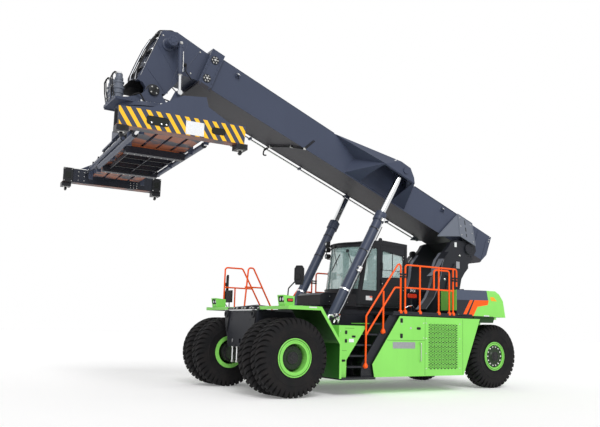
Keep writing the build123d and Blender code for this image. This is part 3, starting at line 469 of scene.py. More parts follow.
# %% Give every CAD node a finish
wheel_green = wheel_colours()
finish = {
    "chassis_frame": charcoal, "front_plate": charcoal, "drive_axle": black, "steer_axle": black,
    "boom_support": charcoal, "counterweight": green, "rear_hoods": hood_colours(),
    "battery_boxes": box_colours(), "cooling_grilles": dark, "front_cabinets": green,
    "stairs": charcoal, "deck": charcoal, "handrails": orange, "front_fenders": fender_colours(),
    "headlamps": green, "mirrors": nylon, "cab_rails": charcoal, "cab_base": soot,
    "cab_shell": soot, "cab_door": soot, "cab_glass": cab_glass, "seat": nylon,
    "steering_console": nylon, "base_boom": boom_underside_shade(), "tail_cover": grey,
    "inner_boom": slate, "boom_head": slate, "damper_barrels": slate, "damper_rods": chrome,
    "rotator_yoke": slate, "slew_motors": charcoal, "slew_carriage": slate,
    "spreader_frame": spreader_colours(), "spreader_arm": beam_colours(), "twistlock": black,
    "steering_knuckle": black, "front_tyres": tread_rubber, "rear_tyre": tread_rubber,
    "front_rims": wheel_green, "rear_rim": wheel_green, "lift_barrel": slate, "lift_rod": chrome,
}
for name, node in nodes.items():
    kind = max((k for k in finish if name.startswith(k)), key=len)
    node.data.materials.clear()
    node.data.materials.append(finish[kind].material)
print("finished", len(nodes), "nodes")

# %% [markdown]
# ## Building blocks
# Everything added from here on is a surface written as arrays: a list of stations, a ring of points at each,
# and quads between neighbours. Four shapes cover nearly all of it: a tube along a path, a turned body round
# an axis, a plate cut from an outline with chamfered edges, and one small shape repeated at many places.
# A Piece gathers such surfaces into one mesh with a finish for each, and rides on one body of the machine.

# %% Gathering surfaces into one mesh
class Piece:
    """One mesh on one moving body; a surface is added once for each of its sides, 1 as given, -1 mirrored."""

    def __init__(self, name, body, slot, sides=(1,)):
        self.name, self.body, self.slot, self.sides = name, body, slot, sides
        self.points, self.faces, self.picks, self.looks, self.count = [], [], [], [], 0

    def add(self, surface, look, sides=None):
        """Adds a surface in one look, on the piece's own sides unless others are given."""
        points, faces = surface
        if look not in self.looks:
            self.looks.append(look)
        for side in sides or self.sides:
            for block in faces:
                self.faces += (block[:, ::side] + self.count).tolist()
                self.picks += [self.looks.index(look)] * len(block)
            self.points.append(points * (1, side, 1))
            self.count += len(points)
        return self

    def done(self, sharp=32):
        """Makes the mesh, smooth but for edges sharper than so many degrees, and hangs it on its body."""
        mesh = bpy.data.meshes.new(self.name)
        mesh.from_pydata(np.concatenate(self.points).tolist(), [], self.faces)
        for look in self.looks:
            mesh.materials.append(look.material)
        mesh.polygons.foreach_set("material_index", self.picks)
        mesh.shade_smooth()
        mesh.set_sharp_from_angle(angle=radians(sharp))
        made = bpy.data.objects.new(self.name, mesh)
        bpy.context.scene.collection.objects.link(made)
        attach(made, self.body)
        print(self.name, len(mesh.polygons), "faces")
        return made


def unit(v):
    """The vector, or each row of vectors, at length one."""
    v = np.asarray(v, float)
    return v / np.linalg.norm(v, axis=-1, keepdims=True)


def axes_for(normal):
    """Two unit vectors that make a right-handed frame with the normal; the second leans upward."""
    n = unit(normal)
    side = unit(np.cross((0, 0, 1), n)) if abs(n[2]) < 0.95 else unit(np.cross((0, 1, 0), n))
    return side, np.cross(n, side), n


def grid_faces(rows, columns, closed):
    """Quads between neighbouring points of rows x columns; closed joins the last column to the first."""
    i, j = np.meshgrid(np.arange(rows - 1), np.arange(columns if closed else columns - 1), indexing="ij")
    k = (j + 1) % columns
    quads = np.stack([i * columns + j, i * columns + k, (i + 1) * columns + k, (i + 1) * columns + j], -1)
    return quads.reshape(-1, 4)


def capped(rings):
    """A closed skin over rings (stations, sides, 3), with one flat face at each end."""
    stations, sides = rings.shape[:2]
    ends = np.array([np.arange(sides)[::-1], np.arange(sides) + (stations - 1) * sides])
    return rings.reshape(-1, 3), [grid_faces(stations, sides, True), ends]


def lathe(start, axis, profile, sides=24):
    """Turned body: at each (distance, radius) of the profile, a ring that far along the axis."""
    u, v, n = axes_for(axis)
    along, radius = np.array(profile, float).T
    turn = np.linspace(0, 2 * pi, sides, endpoint=False)
    ring = np.cos(turn)[:, None] * u + np.sin(turn)[:, None] * v
    return capped(np.asarray(start) + along[:, None, None] * n + radius[:, None, None] * ring)


def hoop(start, axis, profile, sides=48):
    """Closed ring: a loop of (distance, radius) points, clockwise from the inner rear, round an axis."""
    u, v, n = axes_for(axis)
    along, radius = np.array(profile, float).T
    turn = np.linspace(0, 2 * pi, sides, endpoint=False)[:, None, None]
    points = np.asarray(start) + along[:, None] * n + radius[:, None] * (np.cos(turn) * u + np.sin(turn) * v)
    k, j = np.meshgrid(np.arange(sides), np.arange(len(profile)), indexing="ij")
    k2, j2, m = (k + 1) % sides, (j + 1) % len(profile), len(profile)
    quads = np.stack([k * m + j, k2 * m + j, k2 * m + j2, k * m + j2], -1).reshape(-1, 4)
    return points.reshape(-1, 3), [quads]


def sleeve(middle, axis, half, inner, outer, sides):
    """Short pipe about a middle, reaching half its length to both sides."""
    return hoop(middle, axis, [(-half, inner), (-half, outer), (half, outer), (half, inner)], sides)


def ring_bar(start, axis, radius, thick, sides=48):
    """Ring of round bar."""
    turn = np.arange(8) * pi / 4
    return hoop(start, axis, np.stack([thick * np.cos(turn), radius + thick * np.sin(turn)], -1), sides)


def rounded(corners, radius, steps=5):
    """Path through the corners with each inner one replaced by an arc: the quadratic blend of its two tangent
    points, which are radius x half-angle tangent away from it."""
    corners = np.array(corners, float)
    path = [corners[:1]]
    for before, corner, after in zip(corners, corners[1:], corners[2:]):
        come, go = unit(before - corner), unit(after - corner)
        half = np.arccos(np.clip(come @ go, -1, 1)) / 2
        reach = min(radius / max(np.tan(half), 0.05), 0.48 * np.linalg.norm(before - corner),
                    0.48 * np.linalg.norm(after - corner))
        t = np.linspace(0, 1, steps)[:, None]
        path.append((1 - t) ** 2 * (corner + come * reach) + 2 * t * (1 - t) * corner +
                    t ** 2 * (corner + go * reach))
    return np.concatenate(path + [corners[-1:]])


def tube(path, radius, sides=8):
    """Round bar along a path: each ring lies across the mean of its two segments, and turns little."""
    path = np.asarray(path, float)
    steps = unit(np.diff(path, axis=0))
    tangent = unit(np.concatenate([steps[:1], steps[:-1] + steps[1:], steps[-1:]]))
    u = axes_for(tangent[0])[0]
    sides_u = []
    for t in tangent:
        u = unit(u - t * (u @ t))
        sides_u.append(u)
    u = np.array(sides_u)
    v = np.cross(tangent, u)
    turn = np.linspace(0, 2 * pi, sides, endpoint=False)[None, :, None]
    size = np.broadcast_to(radius, len(path))[:, None, None]
    return capped(path[:, None] + size * (np.cos(turn) * u[:, None] + np.sin(turn) * v[:, None]))


def hose(corners, bend, radius, sides=8):
    """Round bar through corners, with each inner one bent."""
    return tube(rounded(corners, bend), radius, sides)


def inset(outline, distance):
    """Outline (n, 2) moved inward: each point slides along its corner's bisector."""
    edge = unit(np.roll(outline, -1, 0) - outline)
    normal = np.stack([-edge[:, 1], edge[:, 0]], -1)
    bisector = normal + np.roll(normal, 1, 0)
    return outline + bisector * (distance * 2 / np.maximum((bisector ** 2).sum(-1, keepdims=True), 0.4))


def plate(origin, across, up, outline, thick, chamfer=0.003):
    """Plate with chamfered edges: an outline, counter-clockwise in (across, up), raised along its normal."""
    origin, across, up = np.asarray(origin, float), unit(across), unit(up)
    normal = np.cross(across, up)
    outline = np.array(outline, float)
    rings = [(inset(outline, chamfer), 0), (outline, chamfer), (outline, thick - chamfer),
             (inset(outline, chamfer), thick)]
    return capped(np.stack([origin + o[:, :1] * across + o[:, 1:] * up + h * normal for o, h in rings]))


def oblong(width, height, corner=0.0, steps=4):
    """Outline of a rectangle about the origin with quarter-circle corners."""
    if not corner:
        return [(-width / 2, -height / 2), (width / 2, -height / 2), (width / 2, height / 2),
                (-width / 2, height / 2)]
    centres = np.array([(1, 1), (-1, 1), (-1, -1), (1, -1)]) * (width / 2 - corner, height / 2 - corner)
    turn = (np.arange(4)[:, None] + np.linspace(0, 1, steps)) * pi / 2
    arc = np.stack([np.cos(turn), np.sin(turn)], -1) * corner
    return (centres[:, None] + arc).reshape(-1, 2)


def side_plate(at, width, height, corner, thick, chamfer=0.003):
    """Plate with rounded corners, lying against a face that looks to the left."""
    return plate(at, BACK, TOP, oblong(width, height, corner), thick, chamfer)


def brick(centre, size, chamfer=0.003, across=(1, 0, 0), up=(0, 0, 1)):
    """Chamfered block about a centre; size is (across, up, deep)."""
    deep = np.cross(unit(across), unit(up))
    return plate(np.asarray(centre) - deep * size[2] / 2, across, up, oblong(*size[:2]), size[2], chamfer)


def repeated(surface, places):
    """The surface once at each place."""
    points, faces = surface
    places = np.asarray(places, float).reshape(-1, 3)
    step = (np.arange(len(places)) * len(points))[:, None, None]
    return (places[:, None] + points).reshape(-1, 3), [(f + step).reshape(-1, f.shape[1]) for f in faces]


def bolts(places, normal, size):
    """Hex heads on washers, standing on the surface at each place; size is the washer's radius."""
    washer = lathe((0, 0, 0), normal, [(0, size), (size * 0.2, size), (size * 0.25, size * 0.94)], 12)
    head = lathe((0, 0, 0), normal, [(size * 0.2, size * 0.74), (size * 0.72, size * 0.74),
                                     (size * 0.84, size * 0.6)], 6)
    return joined(repeated(washer, places), repeated(head, places))


def joined(*surfaces):
    """Several surfaces as one."""
    points, faces, count = [], [], 0
    for p, f in surfaces:
        points.append(p)
        faces += [block + count for block in f]
        count += len(p)
    return np.concatenate(points), faces


def bolt_ring(centre, axis, radius, count, size, start=0.0):
    """Bolts evenly round an axis, the first turned by start degrees."""
    u, v, _ = axes_for(axis)
    turn = radians(start) + np.arange(count)[:, None] * 2 * pi / count
    return bolts(np.asarray(centre) + radius * (np.cos(turn) * u + np.sin(turn) * v), axis, size)


def on_boom(u, y, v):
    """Machine place of boom distance u, side y and height v over the boom's underside."""
    c, s = cos(BOOM_TILT), sin(BOOM_TILT)
    return np.array([BOOM_PIVOT[0] + u * c - v * s, y, BOOM_PIVOT[1] + u * s + v * c])


def boom_line(*places):
    """Path through places of the boom."""
    return [on_boom(*place) for place in places]


def boom_brick(u, y, v, size, chamfer=0.003):
    """Block whose size is (along, over, across) the boom."""
    return brick(on_boom(u, y, v), size, chamfer, ALONG_BOOM, OVER_BOOM)


ALONG_BOOM = (cos(BOOM_TILT), 0, sin(BOOM_TILT))
OVER_BOOM = (-sin(BOOM_TILT), 0, cos(BOOM_TILT))
LEFT, RIGHT, FRONT, BACK, TOP, UNDER = (0, 1, 0), (0, -1, 0), (1, 0, 0), (-1, 0, 0), (0, 0, 1), (0, 0, -1)
print("building blocks ready")

# %% [markdown]
# ## Tyres
# A tyre is a closed grid: round the axle by one way, and across its section by the other. The section runs
# from one bead over the sidewall, the shoulder, the tread, and back. Every groove is a place where the tread
# drops: grooves slant from the middle of the tread to each shoulder, swept the same way round on both
# halves, and run out down the sidewall. The two halves are half a pitch apart.

# %% Tyre surface
# The slant is in pitches per metre of width, and one half is shifted by half a pitch.
LUGS, GROOVE_DEPTH, LUG_LEAN, SLANT, HALF_SHIFT = 40, 0.04, 0.01, 4.0, 0.5
PITCH_MARKS = [0.0, 0.1, 0.17, 0.38, 0.45, 0.6, 0.8]
HALF_SECTION = np.array([(0.322, 0.165), (0.333, 0.182), (0.352, 0.190), (0.388, 0.205), (0.425, 0.212),
                         (0.434, 0.221), (0.500, 0.238), (0.560, 0.249), (0.572, 0.255), (0.584, 0.249),
                         (0.640, 0.248), (0.690, 0.246), (0.735, 0.238), (0.775, 0.224), (0.806, 0.203),
                         (0.823, 0.178), (0.8305, 0.140), (0.831, 0.095), (0.831, 0.050), (0.831, 0.016)])


def tyre(centre, start):
    """radius = section radius - groove depth; depth is full where the pitch phase, shifted by the slant
    across the tread, lies inside the groove, and fades out down the sidewall. Also gives the depth itself."""
    half = HALF_SECTION
    section = np.concatenate([half * (1, -1), half[::-1]])
    r, off = section.T
    reach = np.interp(r, [0.665, 0.73, 0.78, 0.83], [0.0, 0.5, 0.9, 1.0])
    slant = off * SLANT + (off > 0) * HALF_SHIFT
    phase = (np.arange(LUGS)[:, None] + np.array(PITCH_MARKS)).ravel()
    cut = np.tile(np.interp(PITCH_MARKS, [0.0, 0.1, 0.17, 0.38, 0.45, 1.0], [0, 0, 1, 1, 0, 0]), LUGS)
    turn = radians(start) + (phase[:, None] + slant) * 2 * pi / LUGS
    middle = np.exp(-(off / 0.022) ** 2) * 0.5
    depth = GROOVE_DEPTH * reach * np.maximum(cut[:, None] * (1 - 0.7 * np.exp(-(off / 0.06) ** 2)), middle)
    lean = LUG_LEAN * reach * cut[:, None] * np.sign(off) * (np.abs(off) > 0.17)
    radius = r - depth
    points = np.stack([radius * np.cos(turn), np.broadcast_to(off - lean, radius.shape),
                       radius * np.sin(turn)], -1)
    rows, columns = radius.shape
    quads = grid_faces(rows, columns, True)
    last = grid_faces(2, columns, True)
    last = np.where(last >= columns, last - columns, last + (rows - 1) * columns)
    return ((points + centre).reshape(-1, 3), [quads, last]), depth.ravel()


# %% Tyres on their wheels
def tyre_piece(name, body, centres):
    """Tyres of one wheel as one piece, whose groove depth darkens the rubber in painted shade."""
    piece = Piece(name, body, "tyre")
    surfaces, depths = zip(*[tyre(centre, n * 3.1) for n, centre in enumerate(centres)])
    for surface in surfaces:
        piece.add(surface, tread_rubber)
    made = piece.done(sharp=24)
    made.data.attributes.new("groove", "FLOAT", "POINT").data.foreach_set("value", np.concatenate(depths))
    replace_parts(made, name[:-6])


for side, y in (("left", 1), ("right", -1)):
    tyre_piece(f"front_tyres_{side}_tread", f"front_wheel_{side}",
               [(0, y * 1.22, WHEEL_Z), (0, y * 1.8, WHEEL_Z)])
    tyre_piece(f"rear_tyre_{side}_tread", f"rear_wheel_{side}", [(REAR_AXLE_X, y * 1.33, WHEEL_Z)])

# %% [markdown]
# ## Wheels
# Each rim has a rolled flange and a lock ring that stand proud of the barrel. The front discs are bolted
# from inside, so only the studs of the hub show. The steered wheels show a ring of bright nuts.

# %% Flanges, studs and nuts
FLANGE = [(-0.012, 0.384), (-0.012, 0.4), (-0.004, 0.407), (0.006, 0.405), (0.012, 0.396), (0.01, 0.384)]
CAP = [(0, 0.86), (0.006, 0.86), (0.008, 0.8), (0.004, 0.78), (0.004, 0.5), (0.012, 0.48), (0.014, 0.12),
       (0.024, 0.1)]
LOCK_RING = [(-0.004, 0.333), (-0.004, 0.362), (0.006, 0.366), (0.014, 0.356), (0.014, 0.342), (0.006, 0.335)]


def wheel_trim(name, body, sides, x, outer_y, disc_y, studs, hub, ring=1.0):
    """Rings on a rim's outer face, a circle of bolts on its disc and a cap on its hub. Studs are given as
    (radius, count, size, look), the hub as (y, radius, bolts), and ring scales the flange."""
    wheel = Piece(name, body, "green_paint", sides)
    face = (x, outer_y, WHEEL_Z)
    for profile in (FLANGE, LOCK_RING):
        wheel.add(hoop(face, LEFT, [(along, radius * ring) for along, radius in profile]), green)
    wheel.add(ring_bar((x, outer_y + 0.001, WHEEL_Z), LEFT, 0.373 * ring, 0.004), dark)
    radius, count, size, look = studs
    wheel.add(bolt_ring((x, disc_y, WHEEL_Z), LEFT, radius, count, size), look)
    wheel.add(tube([(x + 0.02, disc_y, 1.1), (x + 0.02, disc_y + 0.05, 1.105),
                    (x + 0.02, disc_y + 0.07, 1.12)], 0.006), zinc)
    cap_y, cap_radius, cap_bolts = hub
    cap = (x, cap_y, WHEEL_Z)
    wheel.add(lathe(cap, LEFT, [(out, cap_radius * share) for out, share in CAP], 40), black)
    wheel.add(bolt_ring((x, cap_y + 0.004, WHEEL_Z), LEFT, cap_radius * 0.66, cap_bolts, 0.009), black)
    wheel.done()


for side, y in (("left", 1), ("right", -1)):
    wheel_trim(f"front_wheel_{side}_trim", f"front_wheel_{side}", (y,), 0, 2.022, 1.922,
               (0.2, 16, 0.014, black), (1.936, 0.15, 8))
    wheel_trim(f"rear_wheel_{side}_trim", f"rear_wheel_{side}", (y,), REAR_AXLE_X, 1.552, 1.535,
               (0.245, 14, 0.021, zinc), (1.563, 0.14, 8), 0.915)

# %% [markdown]
# ## Side boxes
# The cooler behind each grille breathes through expanded metal: strands run both ways across the slots and
# meet at flat knots. Doors are held by black compression latches, and each door has a seam round it.

# %% Expanded mesh over the cooling grilles
def strands(low, high, pitch_x, pitch_z):
    """Flat bars along both diagonals of a rectangle, cut where they leave it."""
    (x0, z0), (x1, z1) = low, high
    rise = (x1 - x0) * pitch_z / pitch_x
    rows = []
    for lean in (1, -1):
        slope = lean * pitch_z / pitch_x
        at_x0 = (z0 - rise if lean > 0 else z0) + np.arange(pitch_z / 2, z1 - z0 + rise, pitch_z)
        ends = [np.clip(x0 + (z - at_x0) / slope, x0, x1) for z in (z0, z1)[::lean]]
        rows += [((a, z + slope * (a - x0)), (b, z + slope * (b - x0)))
                 for a, b, z in zip(*ends, at_x0) if b - a > 0.01]
    return rows


def flat_bar(a, b, y, width, thick):
    """Bar from (x, z) to (x, z) in the plane Y = y."""
    run = unit(np.subtract(b, a))
    across = np.array((-run[1], run[0])) * width / 2
    corners = [np.add(a, across), np.subtract(a, across), np.subtract(b, across), np.add(b, across)]
    corners = corners if run[0] > 0 else corners[::-1]
    return plate((0, y, 0), (-1, 0, 0), (0, 0, 1), [(-x, z) for x, z in corners][::-1], thick, 0.0012)


mesh = Piece("grille_mesh", "chassis", "green_paint", (1, -1))
for n, (a, b) in enumerate(strands((-4.725, 0.545), (-3.765, 1.625), 0.114, 0.059)):
    mesh.add(flat_bar(a, b, BOX_Y - 0.0055 + (n % 2) * 0.001, 0.0165, 0.006), green)
for x in (-4.737, -3.753):
    mesh.add(brick((x, BOX_Y - 0.002, 1.085), (0.03, 1.14, 0.008)), green)
for z in (0.533, 1.637):
    mesh.add(brick((-4.245, BOX_Y - 0.002, z), (1.014, 0.03, 0.0085)), green)
mesh.done()

# %% Latches, seams, handles and blank plates
BOLT_PLACES = [(-3.61, 1.632), (-3.69, 1.632), (-3.61, 1.281), (-3.69, 1.275), (-3.69, 0.922), (-3.69, 0.568),
               (-4.8, 1.633), (-4.8, 1.274), (-4.8, 0.916), (-4.8, 0.562), (-2.93, 1.6), (-2.93, 1.25)]
box = Piece("side_box_fittings", "chassis", "black_plastic", (1, -1))
for x, y, z, w, h, corner in ((-2.919, BOX_Y, 1.677, 0.075, 0.105, 0.02),
                              (-2.919, BOX_Y, 1.325, 0.075, 0.105, 0.02),
                              (-3.45, BOX_Y, 1.505, 0.12, 0.055, 0.02),
                              (-1.38, CABINET_Y, 1.38, 0.06, 0.08, 0.016),
                              (-1.38, CABINET_Y, 1.193, 0.06, 0.08, 0.016),
                              (-1.589, CABINET_Y, 1.29, 0.1, 0.045, 0.016),
                              (-1.32, CABINET_Y, 0.765, 0.1, 0.045, 0.016)):
    box.add(side_plate((x, y, z), w, h, corner, 0.012), nylon)
    box.add(side_plate((x, y + 0.011, z), w * 0.55, h * 0.5, corner / 2, 0.008), nylon)
box.add(lathe((-3.204, BOX_Y - 0.001, 1.507), LEFT, [(0, 0.026), (0.006, 0.026), (0.009, 0.02)]), zinc)
box.add(bolts([(x, BOX_Y, z) for x, z in BOLT_PLACES], LEFT, 0.014), zinc)
for x, z, wide, tall in ((-3.0775, 1.222, 1.161, 0.006), (-3.655, 1.0875, 0.006, 1.341),
                         (-4.9, 1.0875, 0.006, 1.341)):
    box.add(brick((x, BOX_Y - 0.001, z), (wide, tall, 0.004), 0.0008), dark)
    shift = (0.008, 0) if tall > wide else (0, 0.008)
    box.add(brick((x - shift[0], BOX_Y, z - shift[1]), (wide, tall, 0.006), 0.0012), green)
box.add(brick((-3.005, BOX_Y + 0.001, 1.108), (0.68, 0.15, 0.006), 0.002), silver)
box.add(bolts([(x, BOX_Y + 0.004, z) for x in (-2.69, -3.32) for z in (1.05, 1.166)], LEFT, 0.006), zinc)
grab = [(-3.487, BOX_Y + out, z) for out, z in ((0, 1.163), (0.055, 1.163), (0.055, 0.747), (0, 0.747))]
box.add(hose(grab, 0.03, 0.011, 10), zinc)
for z in (1.163, 0.747):
    box.add(brick((-3.487, BOX_Y + 0.003, z), (0.045, 0.07, 0.008), 0.002), green)
box.add(brick((-1.532, CABINET_Y + 0.002, 1.2), (0.135, 0.075, 0.004), 0.001), white)
for x, z, wide in ((-1.48, 1.47, 0.26), (-1.33, 0.98, 0.16)):
    box.add(brick((x, CABINET_Y, z), (wide, 0.005, 0.004), 0.001), dark)
box.add(bolts([(-1.23, CABINET_Y, z) for z in (0.47, 0.9, 1.4)], LEFT, 0.01), zinc)
box.done()

# %% [markdown]
# ## Boom
# The collar holds its wear pads with round adjusters, each a disc under a circle of bolts. Two thin hydraulic
# pipes run under the boom's right edge in clamps, a strap crosses the underside, and small lugs on the top
# edges are for lifting the boom out.

# %% Collar, pipes, lugs and folds of the base boom
COLLAR_Y, BOOM_Y = 0.559, 0.504
boom = Piece("boom_trim", "boom", "boom_paint", (1, -1))
for u, v in ((8.675, 0.655), (8.68, 0.16)):
    at = on_boom(u, COLLAR_Y, v)
    boom.add(lathe(at, LEFT, [(-0.002, 0.098), (0.01, 0.098), (0.014, 0.094), (0.014, 0.03), (0.02, 0.028)],
                   36), charcoal)
    out = at + (0, 0.013, 0)
    boom.add(lathe(out, LEFT, [(0, 0.03), (0.02, 0.03), (0.024, 0.024)], 6), zinc)
    boom.add(bolt_ring(out, LEFT, 0.066, 6, 0.017), zinc)
for u, strip in ((8.525, 8.55), (8.795, 8.77)):
    boom.add(bolts([on_boom(u, COLLAR_Y, v) for v in np.arange(-0.02, 0.86, 0.125)], LEFT, 0.011), slate)
    boom.add(boom_brick(strip, COLLAR_Y + 0.002, 0.405, (0.012, 0.93, 0.01)), slate)
for u in (8.04, 1.18):
    for step in (-0.035, 0.035):
        boom.add(plate(on_boom(u + step, 0.498, 0.67), np.negative(ALONG_BOOM), OVER_BOOM,
                       oblong(0.016, 0.12), 0.07), slate)
    boom.add(tube(boom_line((u - 0.05, 0.545, 0.7), (u + 0.05, 0.545, 0.7)), 0.016, 12), alloy)
for u0, u1 in ((0.62, 2.3), (5.16, 8.48)):
    boom.add(boom_brick((u0 + u1) / 2, 0.493, 0.818, (u1 - u0, 0.012, 0.034)), slate)
boom.add(boom_brick(6.52, 0.503, 0.012, (3.9, 0.016, 0.014)), slate)
for y, look in ((-0.555, charcoal), (-0.595, alloy)):
    boom.add(tube(boom_line((0.86, y, -0.035), (8.35, y, -0.035)), 0.01), look, (1,))
for u in np.arange(2.1, 8.4, 1.56):
    boom.add(boom_brick(u, -0.56, -0.028, (0.05, 0.05, 0.12)), slate, (1,))
    boom.add(bolts([on_boom(u, y, -0.0535) for y in (-0.535, -0.575, -0.61)], np.negative(OVER_BOOM), 0.01),
             zinc, (1,))
strap = rounded(boom_line((5.6, 0.508, 0.33), (5.78, 0.512, -0.012), (6.02, 0.25, -0.02),
                          (6.28, -0.35, -0.02), (6.3, -0.56, -0.09)), 0.05)
for shift, radius in ((0, 0.013), (0.035, 0.009)):
    boom.add(tube(strap + np.array(ALONG_BOOM) * shift, radius), rubber, (1,))
for k in (3, 7, 11, 15):
    boom.add(brick(strap[k] + (0, 0, 0.004), (0.07, 0.05, 0.03), 0.004), zinc, (1,))
hook = boom_line((6.28, -0.5, -0.02), (6.33, -0.54, -0.13), (6.28, -0.6, -0.21), (6.2, -0.6, -0.17))
boom.add(hose(hook, 0.05, 0.018, 10), black, (1,))
for u, tall in ((-0.7, 0.7), (-0.3, 0.86), (0.2, 0.86)):
    boom.add(boom_brick(u, 0.502, 0.3, (0.016, tall, 0.03)), slate)
boom.add(boom_brick(-0.856, 0.43, 0.7, (0.03, 0.09, 0.12)), zinc)
boom.add(bolts([on_boom(-0.8, BOOM_Y, v) for v in (0.62, 0.7, 0.78)], LEFT, 0.016), zinc)
boom.add(tube(boom_line((-0.72, -0.42, 0.815), (-0.72, 0.42, 0.815)), 0.02), slate, (1,))
boom.done()

# %% Tail guards: folds, slot and hand hole
guard = Piece("tail_guard_trim", "boom", "cover_paint", (1, -1))
EDGE = np.array(boom_line((0.62, 0.53, 0.82), (0.02, 0.53, 0.82), (-0.14, 0.74, 0.16), (0.5, 0.74, 0.16),
                          (1.12, 0.56, -0.12)))
outward = unit(np.cross(EDGE[1] - EDGE[0], EDGE[3] - EDGE[0]))
outward = outward * np.sign(outward[1])
for a, b in ((0, 3), (1, 2), (3, 4), (2, 3), (0, 4), (0, 1)):
    guard.add(tube([EDGE[a] + outward * 0.002, EDGE[b] + outward * 0.002], 0.011), grey)


def on_guard(s, t):
    """Place on the upper panel: s from its front edge to its rear edge, t from its top edge down."""
    top, low = EDGE[0] + (EDGE[1] - EDGE[0]) * s, EDGE[3] + (EDGE[2] - EDGE[3]) * s
    return top + (low - top) * t


for t0, t1 in ((0.1, 0.3), (0.42, 0.6), (0.7, 0.84)):
    a, b = on_guard(0.46, t0), on_guard(0.46, t1)
    guard.add(plate((a + b) / 2 + outward * 0.001, unit(EDGE[0] - EDGE[1]), unit(a - b),
                    oblong(0.036, np.linalg.norm(b - a)), 0.003, 0.001), dark, (1,))
for s in (0.12, 0.88):
    guard.add(bolts([on_guard(s, t) + outward * 0.001 for t in (0.12, 0.5, 0.88)], outward, 0.017), zinc)
guard.done()

# %% Boom head: boss caps and the hoses down its face
head = Piece("boom_head_trim", "telescope", "boom_paint", (1, -1))
PULLEY = (9.715, 0.423)
tip = on_boom(PULLEY[0], 0.7, PULLEY[1])
head.add(lathe(tip, LEFT, [(-0.012, 0.112), (0.004, 0.112), (0.01, 0.104), (0.01, 0.058), (0.018, 0.054),
                           (0.02, 0.02)], 32), slate)
head.add(bolt_ring(tip + (0, 0.01, 0), LEFT, 0.082, 6, 0.012), slate)
head.add(hoop(on_boom(PULLEY[0], 0.435, PULLEY[1]), LEFT, [(-0.02, 0.1), (-0.02, 0.145), (0.012, 0.145),
                                                           (0.022, 0.125), (0.022, 0.1)], 40), slate)
for u, v, size in ((9.477, 0.666, 0.03), (9.9, 0.55, 0.02), (9.02, 0.7, 0.02), (9.02, 0.12, 0.02)):
    head.add(bolts([on_boom(u, HEAD_Y, v)], LEFT, size), zinc)
for u0, v0, u1, v1 in ((9.02, 0.77, 9.18, 0), (9.35, 0.79, 9.3, -0.62), (9.93, 0.3, 9.2, -0.2),
                       (9.95, -0.3, 9.33, -0.62)):
    head.add(tube(boom_line((u0, HEAD_Y + 0.001, v0), (u1, HEAD_Y + 0.001, v1)), 0.006, 6), slate)
fitting = on_boom(9.21, HEAD_Y - 0.002, 0.222)
head.add(lathe(fitting, LEFT, [(0, 0.04), (0.02, 0.04), (0.024, 0.03), (0.05, 0.026), (0.054, 0.018)], 16),
         black)
head.add(hose([fitting + (0, 0.04, 0), fitting + (0.0, 0.08, -0.05), on_boom(9.16, 0.5, 0.06),
               on_boom(8.95, 0.47, -0.03)], 0.05, 0.012), rubber)
head.add(lathe(on_boom(9.597, HEAD_Y + 0.001, -0.728), LEFT, [(-0.002, 0.152), (0.004, 0.152), (0.007, 0.146),
                                                              (0.007, 0.13)], 40), black)
HOSE_Y = (-0.3, -0.24, -0.18, -0.12, 0.12, 0.18, 0.24, 0.3)
for n, y in enumerate(HOSE_Y):
    bow = 0.05 + 0.03 * (n % 2)
    line = boom_line((9.45, y * 0.9, 0.835), (9.75, y, 0.8 + bow * 0.4), (9.98 + bow * 0.3, y, 0.66),
                     (10.01 + bow * 0.5, y, 0.3), (10.0 + bow * 0.7, y * 1.05, -0.1),
                     (10.02 + bow * 0.4, y * 1.05, -0.45), (10.0, y, -0.62))
    head.add(tube(rounded(line, 0.12, 6), 0.014 if n % 2 else 0.018), rubber if n % 3 else silver, (1,))
for v in (0.55, 0.1, -0.35):
    head.add(boom_brick(9.985, 0, v, (0.07, 0.05, 0.74), 0.008), black, (1,))
    for y in HOSE_Y:
        head.add(bolts([on_boom(10.022, y + 0.03, v)], ALONG_BOOM, 0.012), zinc, (1,))
head.add(plate(on_boom(9.97, 0.405, 0.6), np.negative(OVER_BOOM), LEFT,
               [(0, -0.03), (1.15, -0.03), (1.15, 0.03), (0, 0.03)], 0.006), alloy, (1,))
for n, v in enumerate((0.42, 0.16, -0.2)):
    at = on_boom(9.98, 0.36 - 0.05 * n, v)
    head.add(lathe(at, LEFT, [(0, 0.022), (0.03, 0.024), (0.05, 0.017), (0.07, 0.017)], 12), alloy, (1,))
head.done()

# %% [markdown]
# ## Cylinders
# A lift cylinder's oil arrives at a block on its foot and climbs the barrel in a steel pipe to a second
# block near the gland. Rings of clamps hold the pipe. The gland is a ring of cap screws round the rod. Bent
# steel fittings turn the oil into the foot. The swing dampers are small cylinders with a pipe of their own.

# %% Pipes and blocks on the lift cylinders
FOOT, TOP_PIN = np.array((-1.53, 0.945, 1.531)), np.array((-3.64, 1.055, 5.48))
UP_BARREL = unit(TOP_PIN - FOOT)
FORE = unit(np.cross(UP_BARREL, LEFT))
FORE = FORE * np.sign(FORE[0])
OUT = np.cross(UP_BARREL, FORE)
OUT = OUT * np.sign(OUT[1])


def on_barrel(along, out=0.0, fore=0.0):
    """Place beside the lift cylinder: metres up its axis, outward from it, and forward of it."""
    return FOOT + UP_BARREL * along + OUT * out + FORE * fore


